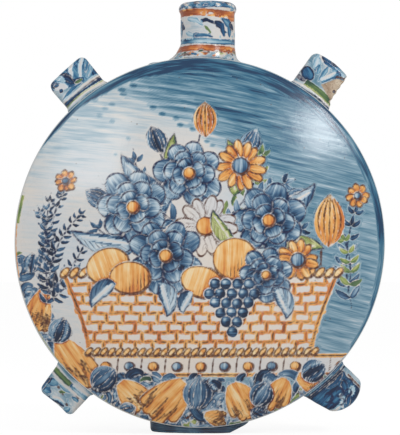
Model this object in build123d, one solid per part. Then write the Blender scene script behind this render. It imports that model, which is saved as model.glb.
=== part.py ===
from build123d import *

import math
import os

# A tin-glazed pilgrim flask of fired earthenware: a drum-shaped hollow body with two domed
# faces, a short round neck, a low oval foot and four pierced lugs for a carrying cord.
# It is joined from eight clay pieces, each one a node of its own.
# Frame: millimetres, +Z up, the front face looks towards -Y, and the origin is the centre of
# the flat underside that the flask stands on.

# Body: two thrown bowls, butted mouth to mouth at the plane y = 0
SEAM_RADIUS = 128.8          # outside, at the seam between the two bowls
RIM_BELLY = 1.2              # how much less it is where the side wall meets the dome
SHOULDER_DEPTH = 26.6        # from the seam plane to that edge
HALF_DEPTH = 56.0            # from the seam plane to the crown of a dome
ARRIS_RADIUS = 3.4           # rounding of the edge between the side wall and the dome
DOME_WALL = 6.0              # clay thickness of a dome
RIM_WALL = 8.5               # clay thickness of the side wall, where the bowls are luted
INNER_CORNER_RADIUS = 9.0    # thrown hollow between the side wall and the dome, inside

# Foot: a low oval ring under the body
FOOT_STAND = 3.2             # how far the body's lowest line is above the table
FOOT_HALF_LENGTH = 34.5
FOOT_HALF_WIDTH = 22.0
FOOT_RECESS_HALF_LENGTH = 22.5
FOOT_RECESS_HALF_WIDTH = 12.0
FOOT_EDGE_RADIUS = 2.6       # worn lower edge at the end under the left lug
FOOT_LIFT_START = 21.0       # beyond this, the underside lifts at the other end
FOOT_LIFT_HEIGHT = 6.2       # how high it has risen at the very end
FOOT_LOWER_ROUND = 1.2       # rounding along the lower outer edge

# Neck: a thrown tube set a little off the middle of the rim
NECK_OFFSET = 5.9            # from the middle plane of the body to the neck's axis
NECK_RADIUS = 19.25
NECK_BORE_RADIUS = 13.5
NECK_HEIGHT = 39.2           # from the top of the body to the lip
LIP_RADIUS = 20.5
LIP_ROUND = 5.0              # outer rounding of the lip
LIP_INNER_ROUND = 1.6        # inner rounding of the lip
LIP_UNDERCUT_HEIGHT = 9.0    # from the top of the lip down to the plain tube
COLLAR_RADIUS = 16.2         # the neck's lower end, which lines the hole in the rim
COLLAR_OVERHANG = 1.5        # how far it stands into the hollow
LUTING_GAP = 0.2             # film of slip between the body and each piece stuck on it

# Skirt: the clay smeared from the neck out over the rim, wider on one side than on the other.
# Each level has a height over the body's top, its reach to the left and to the right of the
# body's middle plane, and its half width from front to back. The first two levels follow the
# neck, and the last two, the hem and the toe, lie where the rim curves down under them.
SKIRT_TOP_HEIGHT = 12.0
SKIRT_START_HEIGHT = 9.5
SKIRT_UPPER_HEIGHT = 4.8
SKIRT_UPPER_LEFT = 15.7
SKIRT_UPPER_RIGHT = 25.6
SKIRT_UPPER_HALF_WIDTH = 19.9
SKIRT_LOWER_HEIGHT = 0.5
SKIRT_LOWER_LEFT = 19.4
SKIRT_LOWER_RIGHT = 26.6
SKIRT_LOWER_HALF_WIDTH = 20.9
SKIRT_HEM_PROUD = 0.9        # how far the hem still stands over the rim
SKIRT_HEM_LEFT = 29.8
SKIRT_HEM_RIGHT = 30.2
SKIRT_HEM_HALF_WIDTH = 22.4
SKIRT_TOE_LEFT = 36.5
SKIRT_TOE_RIGHT = 34.0
SKIRT_TOE_HALF_WIDTH = 23.4

# Lugs: what all four share
CORD_HOLE_RADIUS = 5.5
CORD_HOLE_HEIGHT = 10.5      # from the side wall to the hole's axis
LUG_ROOT_HALF_DEPTH = 17.4   # front to back, at the side wall
LUG_TIP_HALF_DEPTH = 14.2    # front to back, at the height of the outer edge
LUG_EDGE_ROUND = 3.6         # rounding of the front and back rims of a lug
LUG_CORNER_ROUND = 4.6       # rounding of the two outer corners, seen from the front
LUG_ROOT_ROUND = 3.2         # clay smeared round the foot of a lug

# Lugs: each one's own shape, seen from the front. The first lug's notes hold for all four.
UPPER_LEFT_ANGLE = 128.1         # anticlockwise from +X about the body's axis
UPPER_LEFT_ROOT_BEFORE = 15.0    # half width at the side wall, on the anticlockwise side
UPPER_LEFT_ROOT_AFTER = 17.0     # the same, on the clockwise side
UPPER_LEFT_TIP_BEFORE = 15.9     # half width at the outer corner, anticlockwise side
UPPER_LEFT_TIP_AFTER = 16.9      # the same, on the clockwise side
UPPER_LEFT_HEIGHT_BEFORE = 21.6  # from the side wall to the corner, anticlockwise side
UPPER_LEFT_HEIGHT_AFTER = 23.9   # the same, on the clockwise side
UPPER_LEFT_BOW = 0.7             # how far the outer edge bellies out, or in where it is negative
UPPER_RIGHT_ANGLE = 53.9
UPPER_RIGHT_ROOT_BEFORE = 13.6
UPPER_RIGHT_ROOT_AFTER = 17.5
UPPER_RIGHT_TIP_BEFORE = 14.0
UPPER_RIGHT_TIP_AFTER = 16.2
UPPER_RIGHT_HEIGHT_BEFORE = 25.4
UPPER_RIGHT_HEIGHT_AFTER = 25.2
UPPER_RIGHT_BOW = 2.2
LOWER_LEFT_ANGLE = 228.0
LOWER_LEFT_ROOT_BEFORE = 14.7
LOWER_LEFT_ROOT_AFTER = 16.9
LOWER_LEFT_TIP_BEFORE = 14.4
LOWER_LEFT_TIP_AFTER = 14.4
LOWER_LEFT_HEIGHT_BEFORE = 22.0
LOWER_LEFT_HEIGHT_AFTER = 22.4
LOWER_LEFT_BOW = -1.3
LOWER_RIGHT_ANGLE = 313.5
LOWER_RIGHT_ROOT_BEFORE = 14.4
LOWER_RIGHT_ROOT_AFTER = 20.4
LOWER_RIGHT_TIP_BEFORE = 15.3
LOWER_RIGHT_TIP_AFTER = 15.0
LOWER_RIGHT_HEIGHT_BEFORE = 17.9
LOWER_RIGHT_HEIGHT_AFTER = 18.9
LOWER_RIGHT_BOW = 7.4

CUT_OVERRUN = 6.0            # how far a cutting or trimmed block runs past what it meets

# Places that follow from the sizes above
SHOULDER_RADIUS = SEAM_RADIUS - RIM_BELLY
BODY_HEIGHT = FOOT_STAND + SEAM_RADIUS
BODY_TOP = BODY_HEIGHT + SEAM_RADIUS
DOME_RISE = HALF_DEPTH - SHOULDER_DEPTH
DOME_RADIUS = (SHOULDER_RADIUS**2 + DOME_RISE**2) / (2 * DOME_RISE)
DOME_CENTRE_DEPTH = HALF_DEPTH - DOME_RADIUS
INNER_RADIUS = SEAM_RADIUS - RIM_WALL
INNER_DOME_RADIUS = DOME_RADIUS - DOME_WALL

# Each lug: angle, root half widths, tip half widths, corner heights, bow
LUGS = {
    "upper_left": (
        UPPER_LEFT_ANGLE, (UPPER_LEFT_ROOT_BEFORE, UPPER_LEFT_ROOT_AFTER),
        (UPPER_LEFT_TIP_BEFORE, UPPER_LEFT_TIP_AFTER),
        (UPPER_LEFT_HEIGHT_BEFORE, UPPER_LEFT_HEIGHT_AFTER), UPPER_LEFT_BOW,
    ),
    "upper_right": (
        UPPER_RIGHT_ANGLE, (UPPER_RIGHT_ROOT_BEFORE, UPPER_RIGHT_ROOT_AFTER),
        (UPPER_RIGHT_TIP_BEFORE, UPPER_RIGHT_TIP_AFTER),
        (UPPER_RIGHT_HEIGHT_BEFORE, UPPER_RIGHT_HEIGHT_AFTER), UPPER_RIGHT_BOW,
    ),
    "lower_left": (
        LOWER_LEFT_ANGLE, (LOWER_LEFT_ROOT_BEFORE, LOWER_LEFT_ROOT_AFTER),
        (LOWER_LEFT_TIP_BEFORE, LOWER_LEFT_TIP_AFTER),
        (LOWER_LEFT_HEIGHT_BEFORE, LOWER_LEFT_HEIGHT_AFTER), LOWER_LEFT_BOW,
    ),
    "lower_right": (
        LOWER_RIGHT_ANGLE, (LOWER_RIGHT_ROOT_BEFORE, LOWER_RIGHT_ROOT_AFTER),
        (LOWER_RIGHT_TIP_BEFORE, LOWER_RIGHT_TIP_AFTER),
        (LOWER_RIGHT_HEIGHT_BEFORE, LOWER_RIGHT_HEIGHT_AFTER), LOWER_RIGHT_BOW,
    ),
}


def dome_depth(radius, sphere_radius):
    """How far from the seam plane a dome is, at a distance from the body's axis."""
    return DOME_CENTRE_DEPTH + math.sqrt(sphere_radius**2 - radius**2)


def turned_body(outline, corners, corner_radius):
    """A drum turned about the Y axis from an outline, with its two corners rounded."""
    profile = make_face(outline)
    turns = [profile.vertices().sort_by_distance(corner)[0] for corner in corners]
    return Pos(0, 0, BODY_HEIGHT) * revolve(fillet(turns, corner_radius), Axis.Y)


def body_envelope(film=0):
    """The whole body as one filled solid, with a film of slip over it where one is given."""
    edge_radius = SHOULDER_RADIUS + film
    front, back = (edge_radius, -SHOULDER_DEPTH - film), (edge_radius, SHOULDER_DEPTH + film)
    crown = HALF_DEPTH + film
    slope_radius = SHOULDER_RADIUS / 2
    slope = dome_depth(slope_radius, DOME_RADIUS + film)
    outline = (
        ThreePointArc((0, -crown), (slope_radius, -slope), front)
        + ThreePointArc(front, (SEAM_RADIUS + film, 0), back)
        + ThreePointArc(back, (slope_radius, slope), (0, crown))
        + Line((0, crown), (0, -crown))
    )
    return turned_body(outline, (front, back), ARRIS_RADIUS)


def body_hollow():
    """The space inside the body, before the neck is let in."""
    edge_depth = dome_depth(INNER_RADIUS, INNER_DOME_RADIUS)
    front, back = (INNER_RADIUS, -edge_depth), (INNER_RADIUS, edge_depth)
    crown = HALF_DEPTH - DOME_WALL
    slope_radius = INNER_RADIUS / 2
    slope = dome_depth(slope_radius, INNER_DOME_RADIUS)
    outline = (
        ThreePointArc((0, -crown), (slope_radius, -slope), front)
        + Line(front, back)
        + ThreePointArc(back, (slope_radius, slope), (0, crown))
        + Line((0, crown), (0, -crown))
    )
    return turned_body(outline, (front, back), INNER_CORNER_RADIUS)


def neck_hole():
    """The hole through the rim that the neck's collar lines."""
    height = SEAM_RADIUS + CUT_OVERRUN
    hole = Cylinder(COLLAR_RADIUS + LUTING_GAP, height, align=(Align.CENTER, Align.CENTER, Align.MIN))
    return Pos(NECK_OFFSET, 0, BODY_HEIGHT) * hole


def make_shells(envelope):
    """The two bowls, front and back, parted where they are luted mouth to mouth."""
    shell = envelope - body_hollow() - neck_hole()
    return split(shell, Plane.XZ, Keep.TOP), split(shell, Plane.XZ, Keep.BOTTOM)


def neck_tube():
    """The neck as a filled turning, from the top of its skirt to the rounded lip."""
    top = BODY_TOP + NECK_HEIGHT
    low = BODY_TOP + SKIRT_TOP_HEIGHT
    lip_side = (LIP_RADIUS, top - LIP_ROUND)
    tube_end = (NECK_RADIUS, top - LIP_UNDERCUT_HEIGHT)
    lip_bend = ((LIP_RADIUS + NECK_RADIUS) / 2, top - (LIP_ROUND + LIP_UNDERCUT_HEIGHT) / 2)
    outline = (
        Line((0, low), (NECK_RADIUS, low))
        + Line((NECK_RADIUS, low), tube_end)
        + Spline([tube_end, lip_bend, lip_side], tangents=[(0, 1), (0, 1)])
        + RadiusArc(lip_side, (LIP_RADIUS - LIP_ROUND, top), -LIP_ROUND)
        + Line((LIP_RADIUS - LIP_ROUND, top), (0, top))
        + Line((0, top), (0, low))
    )
    return revolve(Plane.XZ * make_face(outline), Axis.Z)


def rim_drop(reach):
    """How far the rim has curved down below the body's top, at a distance to one side."""
    return SEAM_RADIUS - math.sqrt(SEAM_RADIUS**2 - reach**2)


def neck_skirt():
    """The smeared clay between the neck and the rim, lofted through ovals."""
    tube = (NECK_RADIUS - NECK_OFFSET, NECK_RADIUS + NECK_OFFSET)
    hem_height = SKIRT_HEM_PROUD - rim_drop(SKIRT_HEM_LEFT)
    toe_height = -rim_drop(SKIRT_TOE_LEFT)
    levels = [
        (SKIRT_TOP_HEIGHT, *tube, NECK_RADIUS),
        (SKIRT_START_HEIGHT, *tube, NECK_RADIUS),
        (SKIRT_UPPER_HEIGHT, SKIRT_UPPER_LEFT, SKIRT_UPPER_RIGHT, SKIRT_UPPER_HALF_WIDTH),
        (SKIRT_LOWER_HEIGHT, SKIRT_LOWER_LEFT, SKIRT_LOWER_RIGHT, SKIRT_LOWER_HALF_WIDTH),
        (hem_height, SKIRT_HEM_LEFT, SKIRT_HEM_RIGHT, SKIRT_HEM_HALF_WIDTH),
        (toe_height, SKIRT_TOE_LEFT, SKIRT_TOE_RIGHT, SKIRT_TOE_HALF_WIDTH),
    ]
    ovals = []
    for height, left, right, half_width in levels:
        middle = (right - left) / 2
        oval = Ellipse((left + right) / 2, half_width)
        ovals.append(Pos(middle, 0, BODY_TOP + height) * oval)
    return loft(ovals)


def neck_bore():
    """The mouth and throat of the flask, rounded out at the lip."""
    top = BODY_TOP + NECK_HEIGHT
    low = BODY_TOP - RIM_WALL - COLLAR_OVERHANG - CUT_OVERRUN
    flare_radius = NECK_BORE_RADIUS + LIP_INNER_ROUND
    outline = (
        Line((0, low), (NECK_BORE_RADIUS, low))
        + Line((NECK_BORE_RADIUS, low), (NECK_BORE_RADIUS, top - LIP_INNER_ROUND))
        + RadiusArc((NECK_BORE_RADIUS, top - LIP_INNER_ROUND), (flare_radius, top), LIP_INNER_ROUND)
        + Line((flare_radius, top), (flare_radius, top + CUT_OVERRUN))
        + Line((flare_radius, top + CUT_OVERRUN), (0, top + CUT_OVERRUN))
        + Line((0, top + CUT_OVERRUN), (0, low))
    )
    return revolve(Plane.XZ * make_face(outline), Axis.Z)


def make_neck(seat_film):
    """The neck with its skirt on the rim and its collar through the rim."""
    collar_height = RIM_WALL + COLLAR_OVERHANG + CUT_OVERRUN
    collar = Cylinder(COLLAR_RADIUS, collar_height, align=(Align.CENTER, Align.CENTER, Align.MAX))
    collar_top = BODY_TOP + CUT_OVERRUN
    above = (Pos(NECK_OFFSET, 0, 0) * neck_tube() + neck_skirt()) - seat_film
    whole = above + Pos(NECK_OFFSET, 0, collar_top) * collar
    return whole - Pos(NECK_OFFSET, 0, 0) * neck_bore()


def make_foot_ring(seat_film):
    """The low oval ring, worn at one end and lifting off the table at the other."""
    height = FOOT_STAND + CUT_OVERRUN + FOOT_LIFT_HEIGHT
    ring = extrude(Ellipse(FOOT_HALF_LENGTH, FOOT_HALF_WIDTH), height)
    lower_rim = ring.edges().sort_by(Axis.Z)[0]
    ring = fillet(lower_rim, FOOT_LOWER_ROUND)
    ring -= extrude(Ellipse(FOOT_RECESS_HALF_LENGTH, FOOT_RECESS_HALF_WIDTH), height)
    left = -FOOT_HALF_LENGTH - CUT_OVERRUN
    right = FOOT_HALF_LENGTH + CUT_OVERRUN
    lift = FOOT_LIFT_HEIGHT * (right - FOOT_LIFT_START) / (FOOT_HALF_LENGTH - FOOT_LIFT_START)
    side_view = Polyline(
        (-FOOT_HALF_LENGTH, 0), (FOOT_LIFT_START, 0), (right, lift), (right, height), (left, height),
        (left, FOOT_EDGE_RADIUS), (-FOOT_HALF_LENGTH, FOOT_EDGE_RADIUS), close=True,
    )
    block = make_face(side_view)
    worn_end = block.vertices().sort_by_distance((-FOOT_HALF_LENGTH, 0))[0]
    block -= worn_corner(worn_end)
    ring &= extrude(Plane.XZ * block, FOOT_HALF_WIDTH + CUT_OVERRUN, both=True)
    return ring - seat_film


def worn_corner(vertex):
    """The sliver that wear takes off the lower corner of the foot's left end."""
    corner = Pos(vertex.X, vertex.Y) * Rectangle(2 * FOOT_EDGE_RADIUS, 2 * FOOT_EDGE_RADIUS)
    kept = Pos(vertex.X + FOOT_EDGE_RADIUS, vertex.Y + FOOT_EDGE_RADIUS) * Circle(FOOT_EDGE_RADIUS)
    return corner - kept


def lug_outline(roots, tips, heights, bow):
    """A lug seen from the front: x runs clockwise along the rim, y away from it."""
    tip_left = (-tips[0], heights[0])
    tip_right = (tips[1], heights[1])
    middle = ((tips[1] - tips[0]) / 2, (heights[0] + heights[1]) / 2 + bow)
    sunk_left = (-roots[0] - (roots[0] - tips[0]) * CUT_OVERRUN / heights[0], -CUT_OVERRUN)
    sunk_right = (roots[1] + (roots[1] - tips[1]) * CUT_OVERRUN / heights[1], -CUT_OVERRUN)
    outline = (
        Line(sunk_left, tip_left)
        + ThreePointArc(tip_left, middle, tip_right)
        + Line(tip_right, sunk_right)
        + Line(sunk_right, sunk_left)
    )
    face = make_face(outline)
    corners = [face.vertices().sort_by_distance(place)[0] for place in (tip_left, tip_right)]
    return fillet(corners, LUG_CORNER_ROUND)


def lug_side_view(heights, bow):
    """A lug seen along the rim: x runs from front to back, y away from the rim."""
    height = max(heights) + max(bow, 0)
    lean = (LUG_ROOT_HALF_DEPTH - LUG_TIP_HALF_DEPTH) / height
    top = height + CUT_OVERRUN
    low_half = LUG_ROOT_HALF_DEPTH + lean * CUT_OVERRUN
    top_half = LUG_TIP_HALF_DEPTH - lean * CUT_OVERRUN
    return make_face(Polyline(
        (-low_half, -CUT_OVERRUN), (low_half, -CUT_OVERRUN), (top_half, top), (-top_half, top), close=True,
    ))


def lug_block(roots, tips, heights, bow):
    """A lug in its own frame: x clockwise along the rim, y away from it, z to the viewer."""
    block = extrude(lug_outline(roots, tips, heights, bow), LUG_ROOT_HALF_DEPTH + CUT_OVERRUN, both=True)
    side_plane = Plane(origin=(0, 0, 0), x_dir=(0, 0, 1), z_dir=(-1, 0, 0))
    reach = max(*roots, *tips) + CUT_OVERRUN
    block &= extrude(side_plane * lug_side_view(heights, bow), reach, both=True)
    ends = block.faces().sort_by(Axis.Z)
    rims = [
        edge for face in (ends[0], ends[-1]) for edge in face.edges()
        if edge.center().Y > -CUT_OVERRUN
    ]
    return fillet(rims, LUG_EDGE_ROUND)


def make_lug(envelope, seat_film, angle, roots, tips, heights, bow):
    """A lug at its angle on the rim, with its smeared root and its cord hole."""
    outward = Vector(math.cos(math.radians(angle)), 0, math.sin(math.radians(angle)))
    clockwise = Vector(outward.Z, 0, -outward.X)
    seat = Vector(0, 0, BODY_HEIGHT) + outward * SEAM_RADIUS
    place = Plane(origin=seat, x_dir=clockwise, z_dir=(0, -1, 0))
    reach = max(*roots, *tips) + CUT_OVERRUN
    block = place * lug_block(roots, tips, heights, bow)
    patch = envelope & place * Box(2 * reach, 2 * (CUT_OVERRUN + LUG_ROOT_ROUND), 2 * HALF_DEPTH)
    joined = block + patch
    seam = new_edges(block, patch, combined=joined)
    lug = fillet(seam, LUG_ROOT_ROUND) - seat_film
    hole_plane = Plane(origin=seat + outward * CORD_HOLE_HEIGHT, x_dir=outward, z_dir=clockwise)
    hole = extrude(hole_plane * Circle(CORD_HOLE_RADIUS), reach, both=True)
    return lug - hole


def build_parts():
    """Every clay piece of the flask, by the name of its node."""
    envelope = body_envelope()
    seat_film = body_envelope(LUTING_GAP)
    front_shell, back_shell = make_shells(envelope)
    parts = {
        "front_shell": front_shell,
        "back_shell": back_shell,
        "neck": make_neck(seat_film),
        "foot_ring": make_foot_ring(seat_film),
    }
    for name, shape in LUGS.items():
        parts[f"lug_{name}"] = make_lug(envelope, seat_film, *shape)
    return parts


os.makedirs("parts", exist_ok=True)
for node, solid in build_parts().items():
    export_step(solid, f"parts/{node}.step")
    print(f"{node}: {len(solid.solids())} solid, {solid.volume:.0f} mm3")
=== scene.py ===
import logging
import math
from dataclasses import dataclass
from enum import Enum
from typing import Callable, Iterable, Sequence

import bmesh
import bpy
import numpy as np
from mathutils import Color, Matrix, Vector


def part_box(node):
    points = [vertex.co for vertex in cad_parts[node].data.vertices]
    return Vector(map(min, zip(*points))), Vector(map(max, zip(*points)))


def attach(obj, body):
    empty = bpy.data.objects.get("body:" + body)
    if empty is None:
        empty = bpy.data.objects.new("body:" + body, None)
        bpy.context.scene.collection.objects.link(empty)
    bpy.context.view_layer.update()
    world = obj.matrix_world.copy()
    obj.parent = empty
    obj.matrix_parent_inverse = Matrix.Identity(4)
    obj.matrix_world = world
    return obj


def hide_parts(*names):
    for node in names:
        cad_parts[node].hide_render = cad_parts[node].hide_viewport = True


# A pilgrim flask of tin-glazed earthenware: two thrown bowls luted rim to rim, a short neck, a
# low oval foot and four pierced lugs, painted in cobalt, ochre, green and manganese brown.
# Sizes are metres, written as millimetres times MM. The canvases that the brush works on are
# laid out in millimetres, a face's with its middle at zero.

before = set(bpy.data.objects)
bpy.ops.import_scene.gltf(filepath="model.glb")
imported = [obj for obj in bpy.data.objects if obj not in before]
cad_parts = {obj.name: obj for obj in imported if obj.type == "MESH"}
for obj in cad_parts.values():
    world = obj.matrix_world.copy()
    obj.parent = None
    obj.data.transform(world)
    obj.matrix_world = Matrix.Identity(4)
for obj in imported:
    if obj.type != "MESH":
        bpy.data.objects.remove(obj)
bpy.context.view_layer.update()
LOG = logging.getLogger("pilgrim_flask")
MM = 0.001
FULL_TURN = 2 * math.pi
Points = np.ndarray
Colour = tuple[int, int, int]
Spot = Sequence[float]
Socket = bpy.types.NodeSocket
Outputs = bpy.types.NodeOutputs
Tree = bpy.types.NodeTree
Mesh = bpy.types.Mesh
Piece = bpy.types.Object


def linear(colour: Colour) -> tuple[float, float, float, float]:
    """The renderer's linear value of a colour as mixed on a screen, 0 to 255, and opaque."""
    return (*Color([part / 255 for part in colour]).from_srgb_to_scene_linear(), 1.0)


def smooth_step(values: Points, low: float, high: float) -> Points:
    """A soft step from 0 at low to 1 at high."""
    share = np.clip((values - low) / (high - low), 0, 1)
    return share * share * (3 - 2 * share)


class Pigment(Enum):
    """The painter's colours; each value names the attribute that holds its signed depth."""

    COBALT = "cobalt"
    OCHRE = "ochre"
    GREEN = "green"
    BROWN_INK = "brown_ink"
    BLUE_INK = "blue_ink"


COBALT, OCHRE, GREEN, BROWN_INK, BLUE_INK = Pigment


class Mark(Enum):
    """How wide a brush mark is from its start, share 0, to its end, share 1."""

    LEAF = "leaf"
    DAB = "dab"
    LINE = "line"
    ROUND = "round"

    def width(self, share: Points) -> Points:
        """Gives the mark's half width along its length.

        Args:
            share: Places along it, 0 to 1.

        Returns:
            Half width at each place, 1 at the widest.
        """
        if self is Mark.LEAF:
            return np.sin(np.pi * share**0.75) ** 0.85
        if self is Mark.DAB:
            return np.minimum(1, 0.55 + 2.5 * share) * (1 - share**2.2) ** 0.5
        if self is Mark.ROUND:
            return np.ones_like(share)
        return 0.45 + 0.55 * np.sin(np.pi * np.clip(share, 0, 1)) ** 0.5


LEAF, DAB, LINE, ROUND = Mark


class Canvas:
    """Pigment laid on a set of surface points, which are placed in a flat drawing.

    Attributes:
        depth: Signed distance of each pigment's edge from each point, negative inside.
        wash: Strength of the soft blue wash, 0 to 1.
        tone: How dark the pigment on top is, 0 to 1.
        hatch: Strength of fine ruled lines that run along the brush.
        bare: 1 where the clay has no glaze.
        brush: Place along and across the brush stroke, and a number of the stroke's own.
    """

    FAR = 30.0  # depth of a pigment that isn't there
    SPREAD = 1.1  # how far past its edge a patch sets tone and brush
    EDGE = 1.2  # width of the soft edge of wash
    AROUND = 3.0  # how far past an oval's edge it is measured
    APART = 7.3  # step between the numbers of two strokes

    def __init__(self, across: Points, up: Points, seed: int = 1) -> None:
        """Starts a blank canvas.

        Args:
            across: Place of each point across the drawing.
            up: Its place up the drawing.
            seed: Starts the painter's random draws.
        """
        self.x, self.y = np.asarray(across, float), np.asarray(up, float)
        count = self.x.size
        self.depth = {pigment: np.full(count, self.FAR) for pigment in Pigment}
        self.wash, self.tone, self.hatch, self.bare = (np.zeros(count) for _ in range(4))
        self.brush = np.zeros((count, 3))
        self.brush[:, 0], self.brush[:, 1] = self.x, self.y
        self.random = np.random.default_rng(seed)
        self.laid = 0

    def near(self, points: Points, reach: float) -> Points:
        """Finds the canvas points around a line.

        Args:
            points: The line's points.
            reach: How far beyond the line's box to look.

        Returns:
            Their numbers.
        """
        low, high = points.min(0) - reach, points.max(0) + reach
        inside = (self.x > low[0]) & (self.x < high[0]) & (self.y > low[1]) & (self.y < high[1])
        return np.flatnonzero(inside)

    def follow(self, line: Points, near: Points) -> tuple[Points, Points, Points]:
        """Measures points against a line.

        Args:
            line: The line's points, one row each.
            near: Numbers of the canvas points to measure.

        Returns:
            Distance from the line, share of its length, and signed distance to its left.
        """
        spot = np.stack([self.x[near], self.y[near]], 1)
        start, run = line[:-1], np.diff(line, axis=0)
        length = np.maximum(np.hypot(run[:, 0], run[:, 1]), 1e-6)
        rel = spot[:, None] - start[None]
        share = np.clip((rel * run).sum(-1) / length**2, 0, 1)
        off = rel - share[..., None] * run
        distance = np.hypot(off[..., 0], off[..., 1])
        nearest = distance.argmin(1)
        pick = np.arange(near.size)
        before = np.concatenate([[0], np.cumsum(length)])
        along = (before[nearest] + share[pick, nearest] * length[nearest]) / before[-1]
        cross = run[nearest, 0] * off[pick, nearest, 1] - run[nearest, 1] * off[pick, nearest, 0]
        return distance[pick, nearest], along, np.sign(cross) * distance[pick, nearest]

    def cover(self, pigment: Pigment | None, near: Points, distance: Points, tone: Points | float,
              along: Points, across: Points, gap: float = 0.0, hatch: Points | float = 0.0) -> None:
        """Lays an opaque patch, after scraping back what lies under it.

        Args:
            pigment: Its colour, or None for the bare white glaze.
            near: Numbers of the canvas points that may be covered.
            distance: Signed distance from the patch's edge, negative inside.
            tone: How dark it is.
            along: Place along the brush.
            across: Place across the brush.
            gap: Width of the white margin scraped round it.
            hatch: Strength of ruled lines on it.
        """
        for depth in self.depth.values():
            depth[near] = np.maximum(depth[near], gap - distance)
        kept = np.clip(distance / self.EDGE + 0.5, 0, 1)
        self.wash[near] *= kept
        self.hatch[near] *= kept
        inside = distance < self.SPREAD
        spot = near[inside]
        self.laid += 1
        self.tone[spot] = np.broadcast_to(tone, distance.shape)[inside]
        self.brush[spot, 0] = np.broadcast_to(along, distance.shape)[inside]
        self.brush[spot, 1] = np.broadcast_to(across, distance.shape)[inside]
        self.brush[spot, 2] = self.laid * self.APART
        self.hatch[spot] = np.broadcast_to(hatch, distance.shape)[inside]
        if pigment is not None:
            self.depth[pigment][near] = np.minimum(self.depth[pigment][near], distance)

    def ink(self, pigment: Pigment, near: Points, distance: Points) -> None:
        """Adds ink where the signed distance is negative, over all that is there."""
        self.depth[pigment][near] = np.minimum(self.depth[pigment][near], distance)

    def line(self, line: Points, width: float, pigment: Pigment = BROWN_INK,
             mark: Mark = LINE) -> None:
        """Draws an inked line.

        Args:
            line: Its points.
            width: Its widest width.
            pigment: Its ink.
            mark: Its outline.
        """
        near = self.near(line, width)
        distance, share, _ = self.follow(line, near)
        press = 1 + 0.22 * np.sin(share * 17 + self.random.uniform(0, 6))
        self.ink(pigment, near, distance - mark.width(share) * press * width / 2)

    def soften(self, line: Points, width: float, strength: float) -> None:
        """Draws a stroke of see-through blue wash.

        Args:
            line: Its points.
            width: Its widest width.
            strength: How strong it is, 0 to 1.
        """
        near = self.near(line, width)
        distance, share, _ = self.follow(line, near)
        cover = np.clip(0.5 - (distance - DAB.width(share) * width / 2) / self.EDGE, 0, 1)
        self.wash[near] = 1 - (1 - self.wash[near]) * (1 - strength * cover)

    def stroke(self, line: Points, width: float, pigment: Pigment | None, tone: float,
               mark: Mark = DAB, fade: float = 0.0, gap: float = 0.0) -> None:
        """Lays one opaque brush stroke.

        Args:
            line: Points that the stroke follows.
            width: Its widest width.
            pigment: Its colour, or None to scrape back to the white glaze.
            tone: How dark it starts.
            mark: Its outline.
            fade: How much paler it ends.
            gap: White margin round it.
        """
        near = self.near(line, width + gap)
        distance, share, side = self.follow(line, near)
        length = np.hypot(*np.diff(line, axis=0).T).sum()
        edge = distance - mark.width(share) * width / 2
        self.cover(pigment, near, edge, tone - fade * share, share * length, side, gap)

    def blob(self, centre: Spot, half: Spot, turn: float) -> tuple[Points, Points, Points, Points]:
        """Measures the canvas against a turned oval.

        Args:
            centre: The oval's middle.
            half: Its half length and half width.
            turn: Turn of its length, in degrees.

        Returns:
            Numbers of the near points, signed distance, and place along and across the oval.
        """
        near = self.near(np.array([centre]), max(half) + self.AROUND)
        angle = math.radians(turn)
        dx, dy = self.x[near] - centre[0], self.y[near] - centre[1]
        along = dx * math.cos(angle) + dy * math.sin(angle)
        across = dy * math.cos(angle) - dx * math.sin(angle)
        size = np.hypot(along / half[0], across / half[1])
        slope = np.maximum(np.hypot(along / half[0]**2, across / half[1]**2), 1e-6)
        distance = np.where(size < 0.3, -min(half) * (1 - size), size * (size - 1) / slope)
        return near, distance, along, across


def bend(start: Spot, end: Spot, bow: float = 0.0, steps: int = 12) -> Points:
    """Points of an arched line.

    Args:
        start: Where it starts.
        end: Where it ends.
        bow: How far its middle lies to the left of the straight line.
        steps: How many pieces it has.

    Returns:
        The points, one row each.
    """
    start, end = np.array(start, float), np.array(end, float)
    run = end - start
    left = np.array([-run[1], run[0]]) / max(np.hypot(*run), 1e-6)
    share = np.linspace(0, 1, steps + 1)[:, None]
    return start + run * share + left * bow * 4 * share * (1 - share)


def polar(centre: Spot, reach: float, degrees: float) -> tuple[float, float]:
    """The point at a distance and an angle, anticlockwise from the right, from a centre."""
    angle = math.radians(degrees)
    return centre[0] + reach * math.cos(angle), centre[1] + reach * math.sin(angle)


def within(corners: Sequence[Spot], x: Points, y: Points) -> Points:
    """Measures points against a convex outline.

    Args:
        corners: The outline's corners, anticlockwise.
        x: Place of each point across.
        y: Its place up.

    Returns:
        Signed distance from the outline, negative inside.
    """
    off = np.full(x.shape, -99.0)
    for (left, low), (right, high) in zip(corners, (*corners[1:], corners[0])):
        run = math.hypot(right - left, high - low)
        off = np.maximum(off, ((x - left) * (high - low) - (y - low) * (right - left)) / run)
    return off


def loop(centre: Spot, reach: float, turn: float, sweep: float, steps: int) -> Points:
    """Points on part of a turned oval that is four fifths as wide as it is long.

    Args:
        centre: The oval's middle.
        reach: Half its length.
        turn: Turn of its length, in degrees.
        sweep: How far round the line goes, in degrees.
        steps: How many pieces it has.

    Returns:
        The points, one row each.
    """
    around, angle = np.radians(np.linspace(0, sweep, steps + 1)), math.radians(turn)
    along, across = reach * np.cos(around), 0.8 * reach * np.sin(around)
    x = centre[0] + along * math.cos(angle) - across * math.sin(angle)
    y = centre[1] + along * math.sin(angle) + across * math.cos(angle)
    return np.stack([x, y], 1)


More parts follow.
